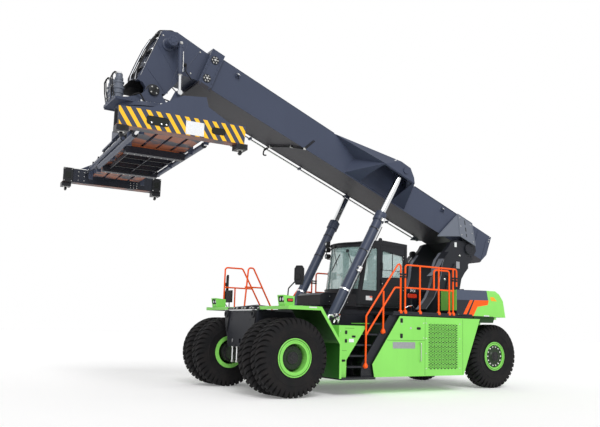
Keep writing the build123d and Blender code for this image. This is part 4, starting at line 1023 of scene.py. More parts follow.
FOOT_PIPES = (
    ([(-1.6, 1.06, 1.62), (-1.6, 1.13, 1.64), (-1.52, 1.14, 1.76), (-1.43, 1.13, 1.75), (-1.41, 1.13, 1.66),
      (-1.47, 1.12, 1.6)], 0.03),
    ([(-1.6, 1.13, 1.66), (-1.66, 1.14, 1.74), (-1.72, 1.14, 1.68), (-1.68, 1.13, 1.6)], 0.028),
    ([(-1.6, 1.13, 1.64), (-1.56, 1.13, 1.56), (-1.49, 1.13, 1.5)], 0.022),
    ([(-1.66, 1.13, 1.62), (-1.64, 1.13, 1.54), (-1.62, 1.12, 1.44)], 0.022))


def lift_trim(side, y):
    """Everything fixed to one barrel: clamps, pipe, blocks, foot hoses, gland and foot fittings."""
    trim = Piece(f"lift_barrel_{side}_trim", f"lift_barrel_{side}", "boom_paint", (y,))
    for at, wide, look in ((0.95, 0.04, alloy), (2.06, 0.022, black), (2.7, 0.022, black)):
        trim.add(sleeve(on_barrel(at), UP_BARREL, wide / 2, 0.119, 0.127, 40), look)
        trim.add(brick(on_barrel(at, 0.131, -0.02), (0.05, wide + 0.01, 0.022), 0.003, FORE, UP_BARREL), look)
        trim.add(bolts([on_barrel(at, 0.142, -0.02)], OUT, 0.012), zinc)
    pipe = rounded([on_barrel(0.32, 0.15, -0.05), on_barrel(0.62, 0.155, -0.06), on_barrel(1.3, 0.15, -0.05),
                    on_barrel(2.82, 0.15, -0.05), on_barrel(2.96, 0.1, -0.05)], 0.08)
    trim.add(tube(pipe, 0.013, 10), silver)
    trim.add(tube(pipe[:-4] + OUT * 0.004 - FORE * 0.042, 0.011), rubber)
    for at, size in ((0.22, (0.12, 0.18, 0.09)), (1.55, (0.085, 0.15, 0.07)), (2.98, (0.07, 0.08, 0.05))):
        block_at = on_barrel(at, 0.145, -0.04)
        trim.add(brick(block_at, size, 0.006, FORE, UP_BARREL), alloy)
        half_wide, half_deep = size[0] / 2, size[2] / 2
        for k in (-0.3, 0.3):
            port = block_at + UP_BARREL * size[1] * k
            trim.add(lathe(port, OUT, [(half_deep - 0.004, 0.026), (half_deep + 0.022, 0.026),
                                       (half_deep + 0.026, 0.018), (half_deep + 0.045, 0.018)], 8), alloy)
            trim.add(lathe(port, FORE, [(half_wide - 0.004, 0.022), (half_wide + 0.03, 0.022),
                                        (half_wide + 0.034, 0.014)], 8), zinc)
    for start, bend in ((0.3, 0.1), (0.16, -0.06)):
        path = [on_barrel(start, 0.19, -0.03), on_barrel(start - 0.02, 0.235, -0.03),
                on_barrel(start - 0.14, 0.235, bend - 0.04), on_barrel(start - 0.27, 0.18, bend)]
        trim.add(hose(path, 0.07, 0.02, 10), rubber)
    gland = on_barrel(3.18)
    trim.add(hoop(gland, UP_BARREL, [(0, 0.092), (0, 0.134), (0.012, 0.13), (0.016, 0.094)], 40), slate)
    trim.add(bolt_ring(gland + UP_BARREL * 0.006, UP_BARREL, 0.115, 12, 0.011), black)
    for at in (2.97, 3.06):
        trim.add(ring_bar(on_barrel(at), UP_BARREL, 0.145, 0.005), slate)
    for k in (-1, 1):
        trim.add(sleeve(FOOT + np.array((0, 0.117 * k - 0.005, 0)), LEFT, 0.012, 0.07, 0.156, 40), slate)
    for path, radius in FOOT_PIPES:
        trim.add(hose(path, 0.04, radius, 12), alloy)
        for near, end in ((path[1], path[0]), (path[-2], path[-1])):
            trim.add(lathe(end, np.subtract(end, near), [(-0.035, radius), (-0.035, radius + 0.008),
                                                         (0.012, radius + 0.008), (0.016, radius * 0.6)], 6),
                     zinc)
    trim.add(lathe((-1.7, 1.15, 1.755), (-0.5, 0.3, 0.8), [(0, 0.022), (0.03, 0.022), (0.036, 0.012)], 12),
             orange)
    trim.done()


for side, y in (("left", 1), ("right", -1)):
    lift_trim(side, y)

# %% Dampers
DAMPER_TOP = np.array((2.3, 0.61, 7.55))
DOWN = unit(np.array((2.27, 0.61, 6.44)) - DAMPER_TOP)
damper = Piece("damper_trim", "damper_barrels", "boom_paint", (1, -1))
for at, thick in ((0.1, 0.008), (0.66, 0.01), (0.7, 0.006)):
    damper.add(ring_bar(DAMPER_TOP + DOWN * at, DOWN, 0.055, thick, 32), slate)
damper.add(hoop(DAMPER_TOP + DOWN * 0.71, DOWN, [(0, 0.04), (0, 0.052), (0.01, 0.05), (0.01, 0.04)], 32),
           zinc)
PORTS = (0.2, 0.6)
for at in PORTS:
    damper.add(brick(DAMPER_TOP + DOWN * at - (0.055, 0, 0), (0.03, 0.05, 0.04), 0.004), alloy)
damper.add(tube([DAMPER_TOP + DOWN * at - (0.068, 0, 0) for at in PORTS], 0.008), zinc)
damper.add(bolts([DAMPER_TOP + (0, 0.042, 0)], LEFT, 0.034), zinc)
damper.done()

# %% [markdown]
# ## Yoke, slewing motors and spreader
# The slew ring is bolted all round. Its two motors are flanged: a wide gearbox with cooling rings, a neck,
# and a smaller hydraulic motor with its hoses on top. A rubber bellows closes the gap between the head and
# the yoke. The spreader wears its own oil pipes, telescoping cylinders, twistlock housings and a blank plate.

# %% Yoke and slewing motors
YOKE_X, YOKE_Z, RING_Z = 2.79978, 6.40968, 6.095
MOTOR = [(0, 0.125), (0.035, 0.125), (0.04, 0.118), (0.04, 0.105), (0.1, 0.105), (0.105, 0.118),
         (0.125, 0.118), (0.13, 0.105), (0.2, 0.105), (0.205, 0.122), (0.245, 0.122), (0.25, 0.1),
         (0.33, 0.098), (0.335, 0.112), (0.365, 0.112), (0.37, 0.088), (0.4, 0.08), (0.405, 0.09),
         (0.45, 0.09), (0.455, 0.075), (0.53, 0.073), (0.55, 0.06)]
yoke = Piece("yoke_trim", "yoke", "boom_paint")
yoke.add(bolt_ring((YOKE_X, 0, RING_Z), TOP, 0.585, 44, 0.016), zinc)
yoke.add(hoop((YOKE_X, 0, 6.05), TOP, [(-0.045, 0.615), (-0.045, 0.632), (0.03, 0.632), (0.045, 0.615)], 72),
         slate)
for y in (0.23, -0.23):
    at = np.array((YOKE_X + 0.68, y, 6.15))
    yoke.add(lathe(at, TOP, MOTOR, 32), grey)
    for rise, radius, count in ((0.035, 0.114, 12), (0.245, 0.11, 8)):
        yoke.add(bolt_ring(at + (0, 0, rise), TOP, radius, count, 0.01), zinc)
    yoke.add(brick(at + (0.02, 0, 0.56), (0.1, 0.045, 0.13), 0.008), alloy)
    for k in (-0.035, 0.035):
        path = [(0.05, k, 0.56), (0.12, k, 0.57), (0.16, k * 1.5, 0.46), (0.14, k * 1.6, 0.22),
                (0.1, k * 2, 0.02)]
        yoke.add(hose(at + path, 0.06, 0.013), rubber)
        yoke.add(lathe(at + (0.065, k, 0.56), FRONT, [(0, 0.018), (0.02, 0.018), (0.022, 0.014)], 6), zinc)
yoke.add(brick((YOKE_X + 0.735, 0, 6.285), (0.13, 0.29, 0.18), 0.01), slate)
yoke.add(brick((YOKE_X + 0.735, 0, 6.46), (0.1, 0.08, 0.12), 0.008), alloy)
yoke.add(bolts([(YOKE_X + 0.801, y, z) for y in (-0.06, 0, 0.06) for z in (6.2, 6.3, 6.4)], FRONT, 0.012),
         zinc)
for side in (LEFT, RIGHT):
    disc, out = np.array((YOKE_X, 0.504 * side[1], YOKE_Z)), np.array(side)
    yoke.add(lathe(disc, side, [(-0.026, 0.118), (0.012, 0.118), (0.018, 0.108), (0.018, 0.05)], 40), black)
    yoke.add(brick(disc + 0.02 * out, (0.03, 0.15, 0.012), 0.003, (0.8, 0, 0.6), (-0.6, 0, 0.8)), dark)
    yoke.add(bolt_ring(disc + 0.016 * out, side, 0.082, 4, 0.017, 40), zinc)
    yoke.add(bolts([(x, 0.481 * side[1], 6.125) for x in np.arange(2.5, 3.52, 0.085)], side, 0.01), slate)
for x, y in ((3.05, 0.5), (3.3, 0.44), (2.62, 0.505)):
    yoke.add(brick((x, y, 6.125), (0.06, 0.05, 0.04), 0.005), alloy)
for y in (0.36, 0.3, -0.32):
    path = [(2.54, y, 6.1), (2.5, y + 0.03, 6.185), (2.38, y + 0.06, 6.2), (2.27, y + 0.05, 6.17),
            (2.28, y + 0.02, RING_Z)]
    yoke.add(hose(path, 0.06, 0.017), rubber)
for x, y, look in ((3.2, 0.42, rubber), (3.08, 0.1, silver), (2.96, -0.1, rubber), (2.84, -0.36, rubber)):
    bow = [(x, y, 6.1), (x + 0.06, y + 0.03, 6.22), (x - 0.08, y + 0.14, 6.27), (x - 0.2, y + 0.12, 6.1)]
    yoke.add(hose(bow, 0.07, 0.015), look)
guards = rounded([(2.36, 0.455, 6.1), (2.36, 0.455, 6.24), (2.6, 0.458, 6.28), (2.6, 0.458, 6.1)], 0.05)
for y in (1, -1):
    yoke.add(tube(guards * (1, y, 1), 0.016), black)
yoke.done()

# %% Bellows
def bellows(low, high, size, folds):
    """Rectangular boot: rings of an oblong whose size swells and shrinks by a cosine once in each fold."""
    low, high = np.array(low), np.array(high)
    t = np.linspace(0, 1, folds * 6 + 1)
    wave = 1 + 0.12 * np.cos(2 * pi * folds * t)
    outline = np.pad(oblong(*size, 0.05), ((0, 0), (0, 1)))
    centre = low + (high - low) * t[:, None]
    return capped(centre[:, None] + outline * wave[:, None, None])


boot = Piece("yoke_bellows", "telescope", "black_plastic")
boot.add(bellows((3.13, 0, 6.44), (3.1, 0, 6.6), (0.27, 0.54), 4), nylon)
boot.done()

# %% Spreader frame: places in its own axes
AHEAD = np.array((cos(SPREADER_TURN), sin(SPREADER_TURN), 0))
ASIDE = np.array((-sin(SPREADER_TURN), cos(SPREADER_TURN), 0))


def on_spreader(x, y, z):
    """Machine place of x ahead, y aside and z up in the spreader's axes."""
    return SPREADER_AT + AHEAD * x + ASIDE * y + np.array((0, 0, z))


def spreader_brick(x, y, z, size, chamfer=0.004):
    """Block whose size is (ahead, up, aside) in the spreader's axes."""
    return brick(on_spreader(x, y, z), size, chamfer, AHEAD, TOP)


def spreader_line(*places):
    """Path through places of the spreader."""
    return [on_spreader(*place) for place in places]


spreader = Piece("spreader_trim", "spreader", "boom_paint")
for x in (0.69, -0.69):
    for z, y0, y1 in ((5.02, -1.15, 2.1), (5.17, -2.1, 1.15)):
        spreader.add(tube(spreader_line((x, y0, z), (x, y1, z)), 0.052, 20), slate)
        for y in (y0, y1):
            spreader.add(ring_bar(on_spreader(x, y, z), ASIDE, 0.05, 0.012, 24), black)
    for y in (-2.38, -1.44, 0.0, 1.44, 2.38):
        spreader.add(spreader_brick(x - np.sign(x) * 0.055, y, 5.1, (0.1, 0.28, 0.03)), slate)
    for k in range(3):
        ends = [(x * 0.9, y, 5.26 + 0.035 * k) for y in (-2.35, 2.35)]
        spreader.add(tube(spreader_line(*ends), 0.011), zinc if k else rubber)
    for y in np.arange(-2.2, 2.3, 0.62):
        spreader.add(spreader_brick(x * 0.885, y, 5.295, (0.08, 0.13, 0.04)), black)
for y in (-1.033, 1.033):
    spreader.add(bolts([on_spreader(x, y, 4.9) for x in np.arange(-0.56, 0.57, 0.14)], UNDER, 0.016), zinc)
for y in (-0.94, -0.47, 0.0, 0.47, 0.94):
    spreader.add(spreader_brick(0, y, 4.944, (0.96, 0.016, 0.03)), black)
for x in (-0.36, -0.13, 0.13, 0.36):
    for y in (-0.7, -0.23, 0.23, 0.7):
        spreader.add(spreader_brick(x, y, 5.044, (0.015, 0.014, 0.4)), black)
for x in (-0.47, 0.47):
    spreader.add(bolts([on_spreader(x, y, 5.561) for y in np.arange(-1.6, 1.7, 0.2)], TOP, 0.014), zinc)
for y in (-2.485, 2.485):
    for x in (-0.46, -0.15, 0.15, 0.46):
        spreader.add(spreader_brick(x, y, 5.408, (0.26, 0.022, 0.05)), slate)
spreader.add(spreader_brick(-0.3, 1.9, 5.47, (0.3, 0.13, 0.42), 0.01), charcoal)
spreader.add(spreader_brick(0.25, -1.95, 5.47, (0.34, 0.13, 0.5), 0.01), charcoal)
for x0 in (-0.42, 0.1):
    for k in range(3):
        x = x0 + 0.05 * k
        path = spreader_line((x, 1.7, 5.42), (x, 1.75, 5.52), (x0 + 0.08 * k, 2.2, 5.5), (x, 2.3, 5.41))
        spreader.add(hose(path, 0.05, 0.014), rubber)
spreader.done()

# %% End beams
def end_beam_trim(side, turn):
    """Slots, plate, housings and rods of one end; turn is 1 for the left end and -1 for the right."""
    arm = Piece(f"arm_{side}_trim", f"arm_{side}", "boom_paint")
    outward, ahead = ASIDE * turn, AHEAD * turn

    def at(x, y, z):
        return on_spreader(x * turn, y * turn, z)

    def face_plate(x, y, z, width, height, corner, thick, chamfer=0.003):
        return plate(at(x, y, z), -ahead, TOP, oblong(width, height, corner), thick, chamfer)

    for x, z, w, h in ((0.51, 5.072, 0.4, 0.155), (-0.648, 5.075, 0.27, 0.12)):
        rim = oblong(w, h, 0.05)
        arm.add(plate(at(x, 3.012, z), -ahead, TOP, rim, 0.01), dark)
        path = at(x, 3.022, z) + rim[:, :1] * -ahead + rim[:, 1:] * np.array(TOP)
        arm.add(tube(np.concatenate([path, path[:1]]), 0.006, 6), dark)
    for k in (0.35, 0.44, 0.62):
        arm.add(lathe(at(k, 3.021, 5.03), outward, [(0, 0.016), (0.006, 0.016), (0.009, 0.01)], 10), alloy)
    arm.add(face_plate(-0.185, 3.019, 5.052, 0.35, 0.255, 0.008, 0.006, 0.0015), white)
    arm.add(bolts([at(-0.185 + a, 3.025, 5.052 + b) for a in (-0.155, 0.155) for b in (-0.11, 0.11)], outward,
                  0.007), zinc)
    for x in (-1.1295, 1.1295):
        arm.add(face_plate(x, 3.038, 4.854, 0.19, 0.1, 0.012, 0.008), black)
        arm.add(face_plate(x, 3.043, 4.854, 0.09, 0.06, 0.015, 0.006), dark)
        inner = at(x * 0.985, 2.757, 5.08)
        arm.add(brick(inner, (0.23, 0.36, 0.04), 0.006, ahead, TOP), black)
        arm.add(brick(inner - outward * 0.018, (0.12, 0.15, 0.02), 0.004, ahead, TOP), dark)
        arm.add(bolts([inner - outward * 0.02 + ahead * a + np.array(TOP) * b for a in (-0.09, 0.09)
                       for b in (-0.15, 0.15)], -outward, 0.014), zinc)
        arm.add(hoop(at(x, 2.9265, 4.802), UNDER, [(-0.002, 0.034), (-0.002, 0.062), (0.01, 0.06),
                                                   (0.012, 0.036)], 28), zinc)
        arm.add(tube([at(x * 0.93, 2.8, 5.252), at(x * 0.6, 2.8, 5.256)], 0.02), zinc)
    for xs, zs in (((0.44, 0.52, 0.6), (4.94, 5.0, 5.06)), ((-0.86, -0.72), (4.97, 5.08, 5.18))):
        arm.add(bolts([at(x, 2.768, z) for x in xs for z in zs], -outward, 0.014), zinc)
    for x in (0.38, -0.09):
        arm.add(brick(at(x, 2.8, 5.3), (0.05, 0.12, 0.2), 0.006, ahead, TOP), slate)
    rod_z = 5.02 if turn > 0 else 5.17
    for x in (-0.69, 0.69):
        arm.add(tube([at(x, 1.2, rod_z), at(x, 2.78, rod_z)], 0.03, 16), chrome)
    arm.done()


for side, turn in (("left", 1), ("right", -1)):
    end_beam_trim(side, turn)

# %% [markdown]
# ## Front end
# Twin lamps look out of each housing behind a clear lens, with a marker lamp on its side. The nose plate
# carries two lashing eyes with plated rings and two hanging pins. The mirrors get their glass.

# %% Lamps and fender fittings
def lamp(piece, centre, axis, radius, body=nylon):
    """Round lamp: bezel, a reflector dish sunk in it and a domed lens over it."""
    piece.add(hoop(centre, axis, [(-0.03, radius * 0.96), (-0.03, radius * 1.12), (0.008, radius * 1.12),
                                  (0.014, radius * 1.04), (0.008, radius * 0.96)], 32), body)
    centre, axis = np.array(centre), np.array(axis)
    piece.add(lathe(centre - axis * 0.03, axis, [(0, radius * 0.95), (0.02, radius * 0.95)], 32), chrome)
    dome = radius * np.array([(0, 0.97), (0.1, 0.9), (0.2, 0.7), (0.28, 0.4), (0.3, 0.1)])
    piece.add(lathe(centre - axis * 0.006, axis, dome, 32), clear)


lamps = Piece("front_lamps", "chassis", "black_plastic", (1, -1))
for y in (1.616, 1.724):
    lamp(lamps, (0.158, y, 2.048), FRONT, 0.047)
lamps.add(plate((0.13, 1.67, 2.048), LEFT, TOP, oblong(0.214, 0.119, 0.01), 0.006), nylon)
lamps.add(side_plate((0.03, 1.8, 2.03), 0.15, 0.075, 0.02, 0.01), black)
lamps.add(side_plate((0.03, 1.809, 2.03), 0.12, 0.05, 0.018, 0.012, 0.004), red)
lamps.add(bolts([(x, 1.8, z) for x, z in ((-0.06, 1.94), (-0.06, 2.09), (0.15, 1.96))], LEFT, 0.009), zinc)
lamps.add(plate((0.145, 1.67, 2.119), FRONT, LEFT, oblong(0.09, 0.25, 0.01), 0.01), green)
lamps.add(hose([(-0.085, 1.67, 2.0), (-0.14, 1.67, 2.0), (-0.17, 1.62, 1.93), (-0.17, 1.6, 1.905)], 0.04,
               0.01), rubber)
lamps.add(side_plate((-0.4, 2.029, 1.888), 0.2, 0.03, 0.004, 0.016), alloy)
lamps.add(tube([(0.2, 2.036, 1.903), (-0.628, 2.036, 1.903), (-1.166, 2.036, 1.134), (-1.166, 2.036, 0.39)],
               0.01), green)
lamps.add(bolts([(x, 2.044, 1.868) for x in (0.15, -0.12, -0.55)], LEFT, 0.01), green)
lamps.done()

# %% Nose plate: lashing eyes, pins and the valve rail above it
nose = Piece("nose_fittings", "chassis", "frame_paint", (1, -1))
eye = (0.312, 0.665, 1.735)
nose.add(hoop(eye, FRONT, [(-0.05, 0.044), (-0.05, 0.086), (0.004, 0.086), (0.01, 0.078), (0.01, 0.05),
                           (0.002, 0.044)], 40), black)
EYE_PLATE = [(-0.02, -0.4), (0.02, -0.4), (0.105, -0.06), (0.105, 0.05), (0.05, 0.095), (-0.05, 0.095),
             (-0.105, 0.05), (-0.105, -0.06)]
nose.add(plate((NOSE_X, *eye[1:]), LEFT, TOP, EYE_PLATE, 0.03), black)
NOSE_BOLTS = ((0.45, 1.76), (0.45, 1.6), (0.45, 1.3), (0.2, 1.76), (0.52, 1.02), (0.2, 1.02))
nose.add(bolts([(NOSE_X, y, z) for y, z in NOSE_BOLTS], FRONT, 0.013), charcoal)
seam = [(0.79, 1.8), (0.79, 1.5), (0.61, 1.15), (0.595, 0.99)]
nose.add(tube([(NOSE_X, y, z) for y, z in seam], 0.01), charcoal)
for y in (0.14, 0.37):
    nose.add(tube([(0.245, y, 0.98), (0.245, y, 0.66)], 0.024, 14), chrome)
    nose.add(lathe((0.245, y, 0.985), UNDER, [(0, 0.034), (0.03, 0.034), (0.034, 0.028)], 16), zinc)
    nose.add(lathe((0.245, y, 0.675), UNDER, [(0, 0.026), (0.012, 0.036), (0.045, 0.036), (0.052, 0.026)],
                   16), zinc)
nose.add(brick((0.235, 0.255, 1.0), (0.05, 0.05, 0.36), 0.006), black)
nose.add(plate((NOSE_X, 0.376, 1.12), LEFT, TOP, oblong(0.05, 0.085, 0.02), 0.004, 0.001), alloy)
nose.add(tube([(0.266, -0.78, 1.822), (0.266, 0.78, 1.822)], 0.014, 10), alloy, (1,))
for n, y in enumerate(np.arange(-0.62, 0.63, 0.2)):
    x = 0.02 + 0.03 * (n % 2)
    nose.add(brick((x, y, 1.86), (0.16, 0.09, 0.12), 0.008), charcoal if n % 2 else black, (1,))
    port = [(0, 0.022), (0.02, 0.022), (0.024, 0.014), (0.045, 0.014)]
    nose.add(lathe((x + 0.075, y, 1.87), FRONT, port, 8), zinc, (1,))
for n in range(4):
    nose.add(hose([(0.12, -0.7 + 0.04 * n, 1.86 + 0.012 * n), (0.05 - 0.05 * n, 0.1, 1.925 + 0.008 * n),
                   (-0.04 - 0.04 * n, 0.75, 1.9)], 0.15, 0.013), silver if n == 2 else rubber, (1,))
nose.add(brick((-0.02, 0.0, 1.816), (0.42, 0.04, 1.5), 0.004), charcoal, (1,))
nose.done()

# %% Mirrors
mirror = Piece("mirror_glass", "chassis", "black_plastic")
for x, y, turn in ((-0.12, 1.9, 35), (-0.336, -1.99, -26)):
    away = np.array((-cos(radians(turn)), -sin(radians(turn)), 0))
    side = np.cross(TOP, away)
    outline = [(-0.052, -0.21), (0.052, -0.21), (0.09, -0.11), (0.09, 0.13), (0.05, 0.19), (-0.05, 0.19),
               (-0.09, 0.13), (-0.09, -0.11)]
    middle, smaller = np.array((x, y, 2.57)), np.array(outline) * (0.86, 0.9)
    mirror.add(plate(middle + away * 0.026, side, TOP, outline, 0.005, 0.002), chrome)
    mirror.add(plate(middle - away * 0.02, -side, TOP, smaller, 0.02, 0.014), nylon)
    mirror.add(brick(middle - away * 0.045 - (0, 0, 0.05), (0.08, 0.09, 0.05), 0.01, side, TOP), nylon)
mirror.done()

# %% [markdown]
# ## Cab
# The windscreen is a cylinder that leans back, so anything on it is placed by an angle round the bow and a
# height. The doors get panes, handles and seals. A beacon and work lamps stand on the roof's edges.

# %% Cab: wipers, lamps, seals and blank labels
BOW, BOW_X = 0.9375, -3.1825


def on_windscreen(angle, z, out):
    """Place on the bowed front: degrees round the bow to the left, a height, and a distance outward."""
    lean = 0.205 * (z - 2.4) / 1.32
    reach = BOW + out
    return np.array((BOW_X - lean + reach * cos(radians(angle)), reach * sin(radians(angle)), z))


cab = Piece("cab_trim", "cab", "cab_paint")
for sweep, foot, pivot_z in ((24, 40, 3.4), (-6, 8, 3.535)):
    arm = [on_windscreen(sweep + k * (foot - sweep), pivot_z - 0.5 * k, 0.035) for k in np.linspace(0, 1, 6)]
    cab.add(tube(arm, 0.009), black)
    blade = [on_windscreen(foot + 2 - 14 * k, pivot_z - 0.22 - 0.42 * k, 0.016) for k in np.linspace(0, 1, 7)]
    cab.add(tube(blade, 0.011, 6), nylon)
    cab.add(lathe(on_windscreen(sweep, pivot_z, -0.01), FRONT, [(0, 0.035), (0.045, 0.035), (0.055, 0.022)],
                  16), nylon)
for z in (2.425, 3.515):
    cab.add(tube([on_windscreen(k, z, -0.004) for k in np.linspace(-49, 49, 25)], 0.013), nylon)
for y in (1, -1):
    cab.add(tube([on_windscreen(49.4 * y, z, -0.006) for z in np.linspace(2.43, 3.51, 5)], 0.013), nylon)
cab.add(tube([on_windscreen(k, 3.6, 0.012) for k in np.linspace(-50, 50, 25)], 0.02, 10), soot)
cab.add(tube([on_windscreen(k, 3.42, -0.05) for k in np.linspace(-40, 40, 17)], 0.022, 10), silver)
beacon = np.array((-3.37, 0.56, 3.672))
cab.add(lathe(beacon, TOP, [(0, 0.075), (0.018, 0.075), (0.022, 0.055), (0.035, 0.055)]), nylon)
cab.add(lathe(beacon + (0, 0, 0.034), TOP, [(0, 0.052), (0.05, 0.048), (0.075, 0.036), (0.083, 0.015)]),
        charcoal)
cab.add(brick((-3.44, 0.5, 3.675), (0.3, 0.03, 0.12), 0.008), nylon)
for at, foot_drop in (((-2.6, -0.775, 3.52), 0), ((-2.6, -0.775, 3.35), 0), ((-2.47, -0.6, 3.655), 0.07)):
    cab.add(brick(np.subtract(at, (0.05, 0, 0)), (0.09, 0.115, 0.15), 0.012), nylon)
    lamp(cab, np.add(at, (0.004, 0, 0)), FRONT, 0.045)
    cab.add(brick(np.subtract(at, (0.07, 0, foot_drop)), (0.03, 0.05, 0.2), 0.005), nylon)
cab.add(hose([(-2.77, -0.73, 3.61), (-2.65, -0.83, 3.6), (-2.65, -0.83, 3.28), (-2.79, -0.73, 3.28)], 0.05,
             0.012), nylon)
DOOR_SEAM = [(-4.045, 2.13), (-4.045, 3.56), (-3.225, 3.56), (-3.225, 2.13), (-4.045, 2.13)]
SIDE_PANE = [(-2.666, 2.41), (-2.842, 3.492), (-3.132, 3.492), (-3.132, 2.41), (-2.666, 2.41)]
for side in (LEFT, RIGHT):
    out, y = side[1], side[1] * 0.748
    cab.add(tube([(x, out * 0.742, 3.6) for x in (-4.07, -2.72)], 0.014), soot)
    for line, radius in ((DOOR_SEAM, 0.007), (SIDE_PANE, 0.011)):
        cab.add(tube([(x, y, z) for x, z in line], radius, 6), nylon)
    cab.add(bolts([(x, y * 0.996, 2.22) for x in (-3.15, -2.75, -2.6)], side, 0.01), soot)
    for z in (2.012, 2.045):
        cab.add(tube([(x, out * 0.732, z) for x in (-4.08, -2.72)], 0.01), black)
cab.add(side_plate((-2.886, 0.748, 2.223), 0.2, 0.105, 0.006, 0.004, 0.001), white)
cab.add(side_plate((-2.945, 0.7515, 2.255), 0.075, 0.035, 0.004, 0.0015, 0.0005), orange)
for x in np.arange(-2.42, -1.58, 0.12):
    cab.add(brick((x, 0.17, 2.302), (0.05, 0.014, 0.92), 0.005), soot)
cab.add(tube([(-1.475, -0.33, 2.235), (-1.475, 0.67, 2.235), (-1.6, 0.685, 2.296), (-2.28, 0.685, 2.298)],
             0.012), soot)
cab.add(brick((-2.0, 0.692, 2.15), (0.62, 0.16, 0.008), 0.003), soot)
cab.add(bolts([(x, 0.695, z) for x in (-2.27, -1.74) for z in (2.09, 2.21)], LEFT, 0.009), zinc)
for x in (-3.95, -2.75):
    for y in (0.56, -0.56):
        cab.add(lathe((x, y - 0.03, 1.998), LEFT, [(0, 0.03), (0.004, 0.034), (0.056, 0.034), (0.06, 0.03)],
                      20), black)
REAR_X = -4.106
cab.add(brick((REAR_X - 0.002, 0, 2.4), (0.016, 0.5, 1.1), 0.004), soot)
SEAL = ((-0.655, 2.705), (0.655, 2.705), (0.655, 3.475), (-0.655, 3.475), (-0.655, 2.705))
cab.add(tube([(REAR_X, y, z) for y, z in SEAL], 0.011, 6), nylon)
grab = [(REAR_X - out, y, 2.6) for out, y in ((0, 0.3), (0.05, 0.3), (0.05, -0.3), (0, -0.3))]
cab.add(hose(grab, 0.04, 0.012), zinc)
cab.done()

# %% Doors: panes, frames and handles
for side, y in (("left", 1), ("right", -1)):
    door = Piece(f"door_{side}_trim", f"door_{side}", "cab_paint", (y,))
    opening = [(-3.994, 2.783), (-3.296, 2.751), (-3.296, 3.444), (-3.994, 3.344)]
    shape = [(-x - 3.645, z - 3.1) for x, z in opening][::-1]
    door.add(plate((-3.645, 0.712, 3.1), BACK, TOP, shape, 0.007, 0.001), cab_glass)
    loop = [(x, 0.747, z) for x, z in opening]
    door.add(tube(loop + loop[:1], 0.01, 6), nylon)
    for x0, x1, z0, z1, radius in ((-3.645, -3.645, 2.77, 3.392, 0.011), (-3.99, -3.3, 2.952, 2.952, 0.007)):
        door.add(tube([(x0, 0.722, z0), (x1, 0.722, z1)], radius, 6), nylon)
    pull = [(-3.27, y, z) for y, z in ((0.746, 3.13), (0.79, 3.12), (0.79, 2.97), (0.746, 2.96))]
    door.add(hose(pull, 0.02, 0.012), nylon)
    door.add(brick((-3.276, 0.777, 2.63), (0.05, 0.17, 0.01), 0.004), nylon)
    door.add(lathe((-3.276, 0.778, 2.6), LEFT, [(0, 0.014), (0.008, 0.014), (0.01, 0.01)], 16), zinc)
    for z in (2.25, 2.62):
        door.add(brick((-3.64, 0.747, z), (0.7, 0.012, 0.006), 0.002), soot)
    for z in (2.5, 3.3):
        door.add(brick((-3.985, 0.75, z), (0.07, 0.12, 0.008), 0.002), soot)
        door.add(bolts([(-3.985, 0.753, z + k) for k in (-0.04, 0.04)], LEFT, 0.009), zinc)
    door.done()

# %% [markdown]
# ## Rails, towers and tail
# Handrail posts stand in cast feet, and the gate and the stair rail are joined by rubber straps. The towers
# carry a work lamp cluster, a service lamp and greased pins. The tail has its lights and towing pin.

# %% Handrail feet and joints
rails = Piece("rail_fittings", "chassis", "orange_paint", (1, -1))
for x in (-2.91, -3.05, -3.51, -4.12, -4.47, -4.6):
    rails.add(lathe((x, RAIL_Y, 1.842), TOP, [(0, 0.046), (0.012, 0.052), (0.05, 0.05), (0.075, 0.036),
                                              (0.085, 0.024)]), orange)
    rails.add(plate((x, RAIL_Y, 1.84), FRONT, LEFT, oblong(0.085, 0.06, 0.012), 0.014), orange)
for x, z in ((-1.91, 0.6), (-2.4, 1.375)):
    foot = [(0, 0.04), (0.012, 0.052), (0.06, 0.052), (0.09, 0.036), (0.11, 0.024)]
    rails.add(lathe((x, RAIL_Y, z), TOP, foot), orange)
    rails.add(lathe((x, 1.894, z + 0.035), LEFT, [(0, 0.05), (0.036, 0.05), (0.04, 0.042)]), orange)
for x, z in ((-2.98, 2.76), (-2.98, 2.7), (-4.66, 2.77), (-4.66, 2.71)):
    rails.add(brick((x, RAIL_Y, z), (0.13, 0.035, 0.03), 0.008), nylon)
for z in (2.76, 2.7):
    for x in (-2.915, -3.045, -4.6, -4.72):
        rails.add(sleeve((x, RAIL_Y, z), TOP, 0.02, 0.021, 0.03, 20), nylon)
for x in (-3.51, -4.12, -4.6):
    rails.add(sleeve((x, RAIL_Y, 2.45), TOP, 0.024, 0.02, 0.026, 20), orange)
rails.done()

# %% Stairs and walkway: nosings and tread plate bars
steps = Piece("tread_plate", "chassis", "frame_paint", (1, -1))
for n in range(5):
    z = 0.64 + 0.24 * n
    front = -1.44 - 0.727 * max(0, z - 0.78)
    for k in range(9):
        steps.add(brick((front - 0.03 - 0.04 * k, 1.5275, z + 0.001), (0.012, 0.008, 0.66), 0.003), charcoal)
    steps.add(brick((front + 0.001, 1.5275, z - 0.016), (0.008, 0.022, 0.68), 0.002), green)
for k in range(24):
    steps.add(brick((-1.22 - 0.037 * k, 1.55, 0.401), (0.012, 0.006, 0.72), 0.002), charcoal)


